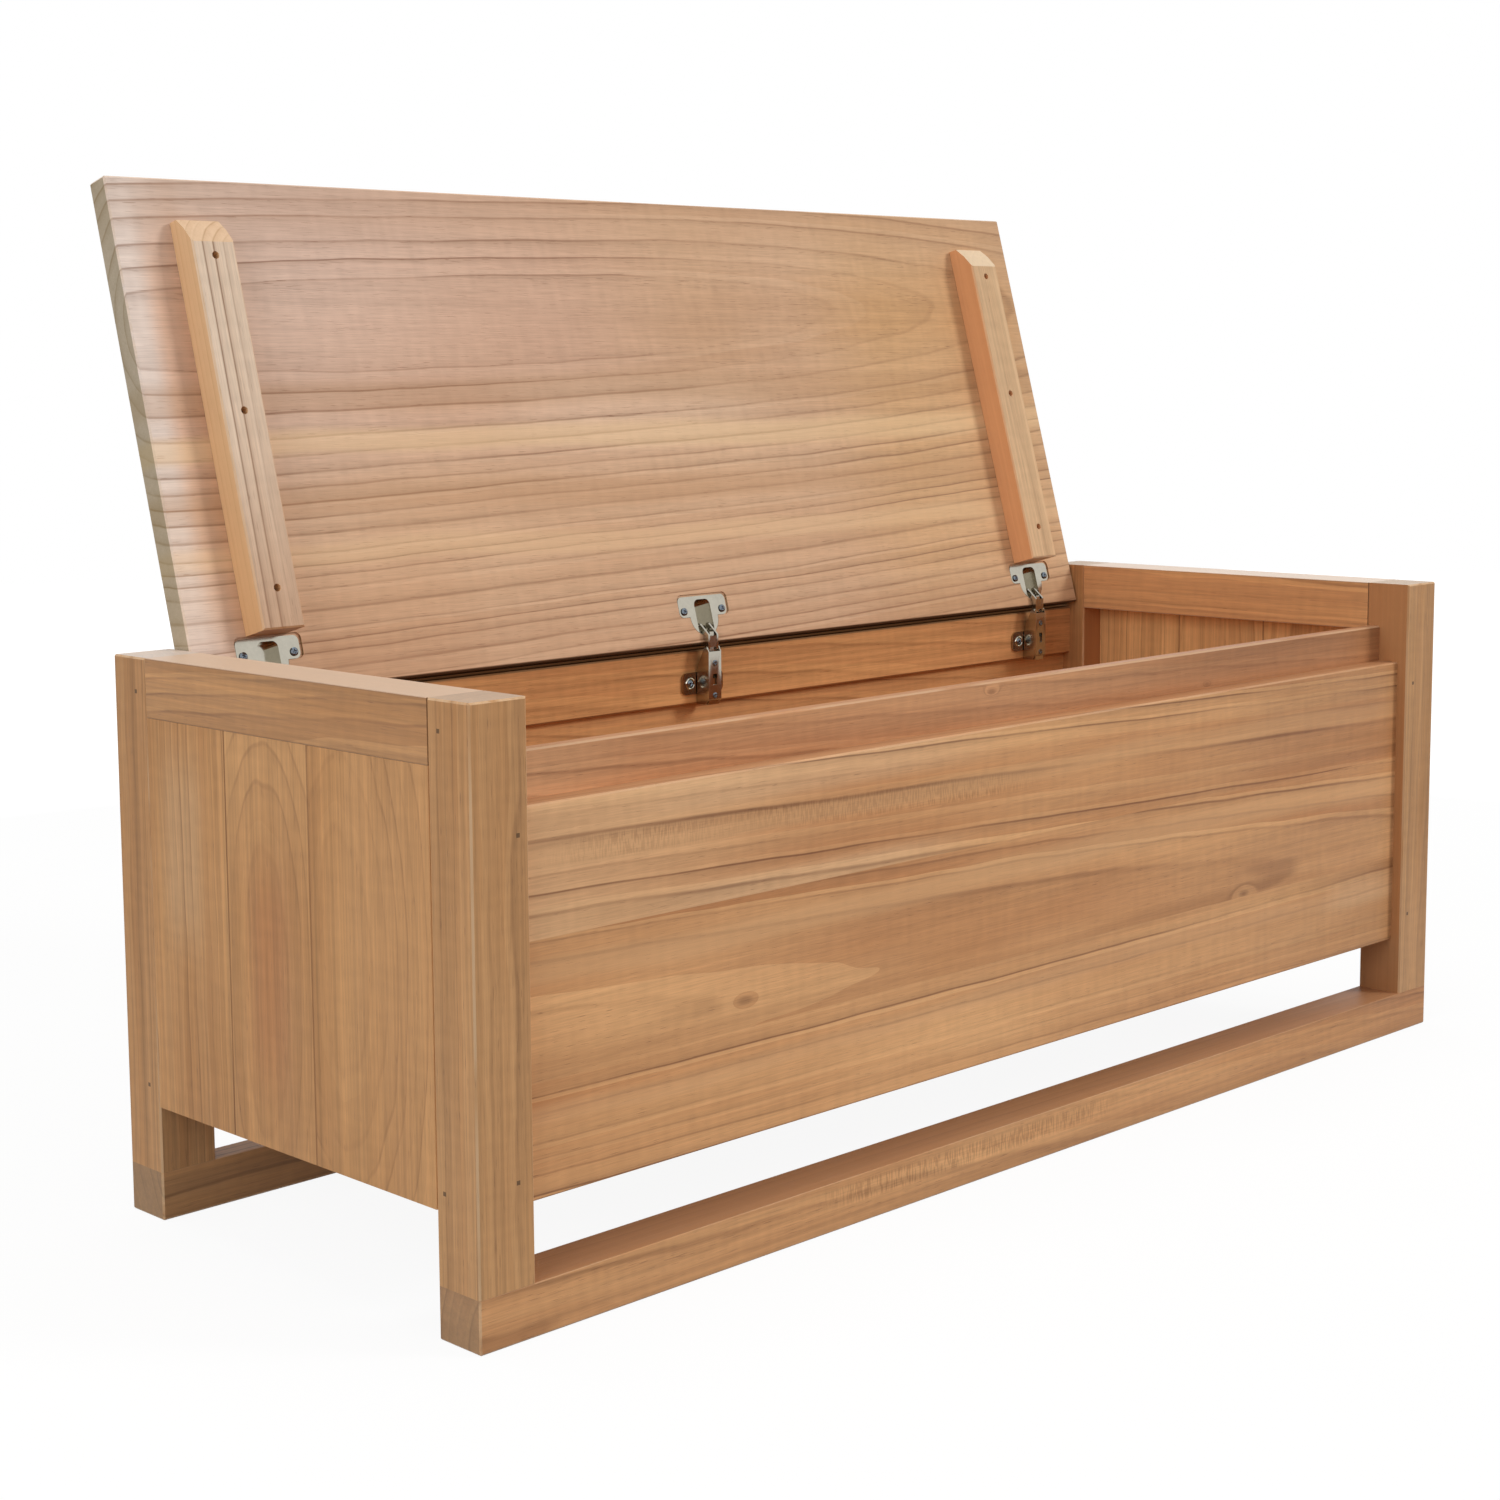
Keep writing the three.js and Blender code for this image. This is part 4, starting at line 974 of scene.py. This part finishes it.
def revolved(name, place, profile, sides, material, body):
    """A closed ring with the given (radius, z) section"""
    build = bmesh.new()
    rows = [circle(build, r, z, sides) for r, z in profile]
    for row, other in zip(rows, rows[1:] + rows[:1]):
        bridge(build, row, other)
    build.transform(place)
    return finished(name, build, material, body)


def make_hinge_details():
    turn = Vector((0, 0, 1)).rotation_difference(INWARD).to_matrix().to_4x4()
    for side, x in HINGES.items():
        for count, (z, cross) in enumerate(ADJUSTERS):
            spot = surface_along(f"{side}_hinge_arm", (x, PROBE_Y, z), -INWARD)
            cross_screw(
                f"{side}_adjuster_{count + 1}", Matrix.Translation(spot) @ turn,
                *ADJUSTER_SIZES, cross, "chest"
            )
        for count, reach in enumerate((-PLATE_SCREW_REACH, PLATE_SCREW_REACH)):
            beside = (x + reach + BARE_PLATE, PROBE_Y, PLATE_SCREW_HEIGHT)
            spot = surface_along(f"{side}_hinge_plate", beside, -INWARD)
            spot.x = x + reach
            revolved(
                f"{side}_dimple_{count + 1}", Matrix.Translation(spot) @ turn, DIMPLE,
                DIMPLE_SIDES, NICKEL, "chest"
            )


make_hinge_details()


# Camera, as in the photograph: where it stands, its turn to the right, its tilt and its roll
EYE = Vector((-1.614973, -1.509023, 0.646498))
YAW, PITCH, ROLL = 0.7605, -0.118, -0.0099
FOCAL_PIXELS, CENTRE_PIXELS, FRAME_PIXELS = 2531.53, (664.35, 668.43), 1500
SENSOR = 36.0


def make_camera():
    ahead = Vector(
        (math.sin(YAW) * math.cos(PITCH), math.cos(YAW) * math.cos(PITCH), math.sin(PITCH))
    )
    level = ahead.cross(Vector((0, 0, 1))).normalized()
    upright = level.cross(ahead)
    right = level * math.cos(ROLL) + upright * math.sin(ROLL)
    up = upright * math.cos(ROLL) - level * math.sin(ROLL)
    data = bpy.data.cameras.new("camera")
    data.sensor_width = SENSOR
    data.lens = FOCAL_PIXELS / FRAME_PIXELS * SENSOR
    data.shift_x = (FRAME_PIXELS / 2 - CENTRE_PIXELS[0]) / FRAME_PIXELS
    data.shift_y = (CENTRE_PIXELS[1] - FRAME_PIXELS / 2) / FRAME_PIXELS
    camera = add_object("camera", data)
    turn = Matrix((right, up, -ahead)).transposed().to_4x4()
    camera.matrix_world = Matrix.Translation(EYE) @ turn
    bpy.context.scene.camera = camera


# Light and floor
def lamp(name, towards, distance, size, power, target=(0, 0, 0.35)):
    """A soft square lamp that stands in the given direction and faces the object"""
    data = bpy.data.lights.new(name, "AREA")
    data.shape = "RECTANGLE"
    data.size, data.size_y = size
    data.energy = power
    obj = add_object(name, data)
    towards = Vector(towards).normalized()
    obj.location = Vector(target) + towards * distance
    obj.rotation_euler = towards.to_track_quat("Z", "Y").to_euler()
    return obj


def make_world(strength):
    """A dim, slightly warm light all round, behind which the camera sees white"""
    world = bpy.data.worlds.new("studio")
    world.use_nodes = True
    bpy.context.scene.world = world
    g = Graph(world.node_tree)
    world.node_tree.nodes.clear()
    lit = g.node("ShaderNodeBackground")
    lit.inputs["Color"].default_value = (1.0, 0.985, 0.965, 1)
    lit.inputs["Strength"].default_value = strength
    white = g.node("ShaderNodeBackground")
    white.inputs["Color"].default_value = (1, 1, 1, 1)
    white.inputs["Strength"].default_value = 1.0
    both = g.blend(g.seen(), lit.outputs[0], white.outputs[0])
    g.put(g.node("ShaderNodeOutputWorld").inputs[0], both)


# The floor is a disc of rings, which are wider by this power towards its rim
FLOOR_RINGS, FLOOR_SIDES, FLOOR_REACH, FLOOR_POWER = 24, 96, 6.0, 1.6
# How far the floor lies under the feet
FLOOR_DROP = 0.0002
# The floor's greys, where they are seen and where they only throw light back on the object
GREYS_SEEN, GREYS_HIDDEN = (166, 174), (134, 142)
# A white glow veils the floor. This is its least share, and from where to where it grows to all
VEIL_LEAST, VEIL_START, VEIL_END = 0.8, 0.9, 2.2
GLOW_STRENGTH = 1.15


def make_floor():
    """A pale floor that keeps a soft shadow and runs out into the white background"""
    mesh = bpy.data.meshes.new("floor")
    build = bmesh.new()
    last = None
    for i in range(1, FLOOR_RINGS + 1):
        row = circle(build, FLOOR_REACH * (i / FLOOR_RINGS) ** FLOOR_POWER, 0, FLOOR_SIDES)
        if last is None:
            build.faces.new(row)
        else:
            bridge(build, row, last)
        last = row
    build.to_mesh(mesh)
    build.free()
    floor = add_object("floor", mesh)
    floor.location.z = cad_box[0][2] - FLOOR_DROP
    material, g, shader = new_material("floor")
    place = g.node("ShaderNodeTexCoord").outputs["Object"]
    cloud = g.noise(place, 3.0, 0.5, 3.0)
    shader.inputs["Roughness"].default_value = 0.9
    shader.inputs["Specular IOR Level"].default_value = 0.1
    shown, hidden = (
        g.mix(cloud, *(srgb(grey, grey, grey) for grey in greys))
        for greys in (GREYS_SEEN, GREYS_HIDDEN)
    )
    away = g.node("ShaderNodeVectorMath", operation="LENGTH")
    g.put(away.inputs[0], place)
    seen = g.seen()
    g.put(shader.inputs["Base Color"], g.mix(seen, hidden, shown))
    veil = g.most(g.step(away.outputs["Value"], VEIL_START, VEIL_END), VEIL_LEAST)
    glow = g.node("ShaderNodeEmission")
    glow.inputs["Color"].default_value = (1, 1, 1, 1)
    glow.inputs["Strength"].default_value = GLOW_STRENGTH
    both = g.blend(g.mul(veil, seen), shader.outputs[0], glow.outputs[0])
    g.put(g.tree.nodes["Material Output"].inputs["Surface"], both)
    mesh.materials.append(material)


make_camera()
make_world(strength=0.5)
make_floor()
# The key lamp stands close to the mirror direction of the lid and the hinges' flanges, so nothing
# mirrors it
key = lamp("key", towards=(0.55, -0.686, 0.475), distance=8.0, size=(1.9, 1.9), power=252)
key.visible_glossy = False
lamp("left_fill", towards=(-0.92, -0.2, 0.36), distance=3.4, size=(2.0, 2.0), power=38,
     target=(-0.1, 0.0, 0.35))
lamp("top", towards=(0.0, 0.1, 1.0), distance=4.0, size=(2.6, 2.2), power=38)

scene = bpy.context.scene
scene.view_settings.view_transform = "Standard"
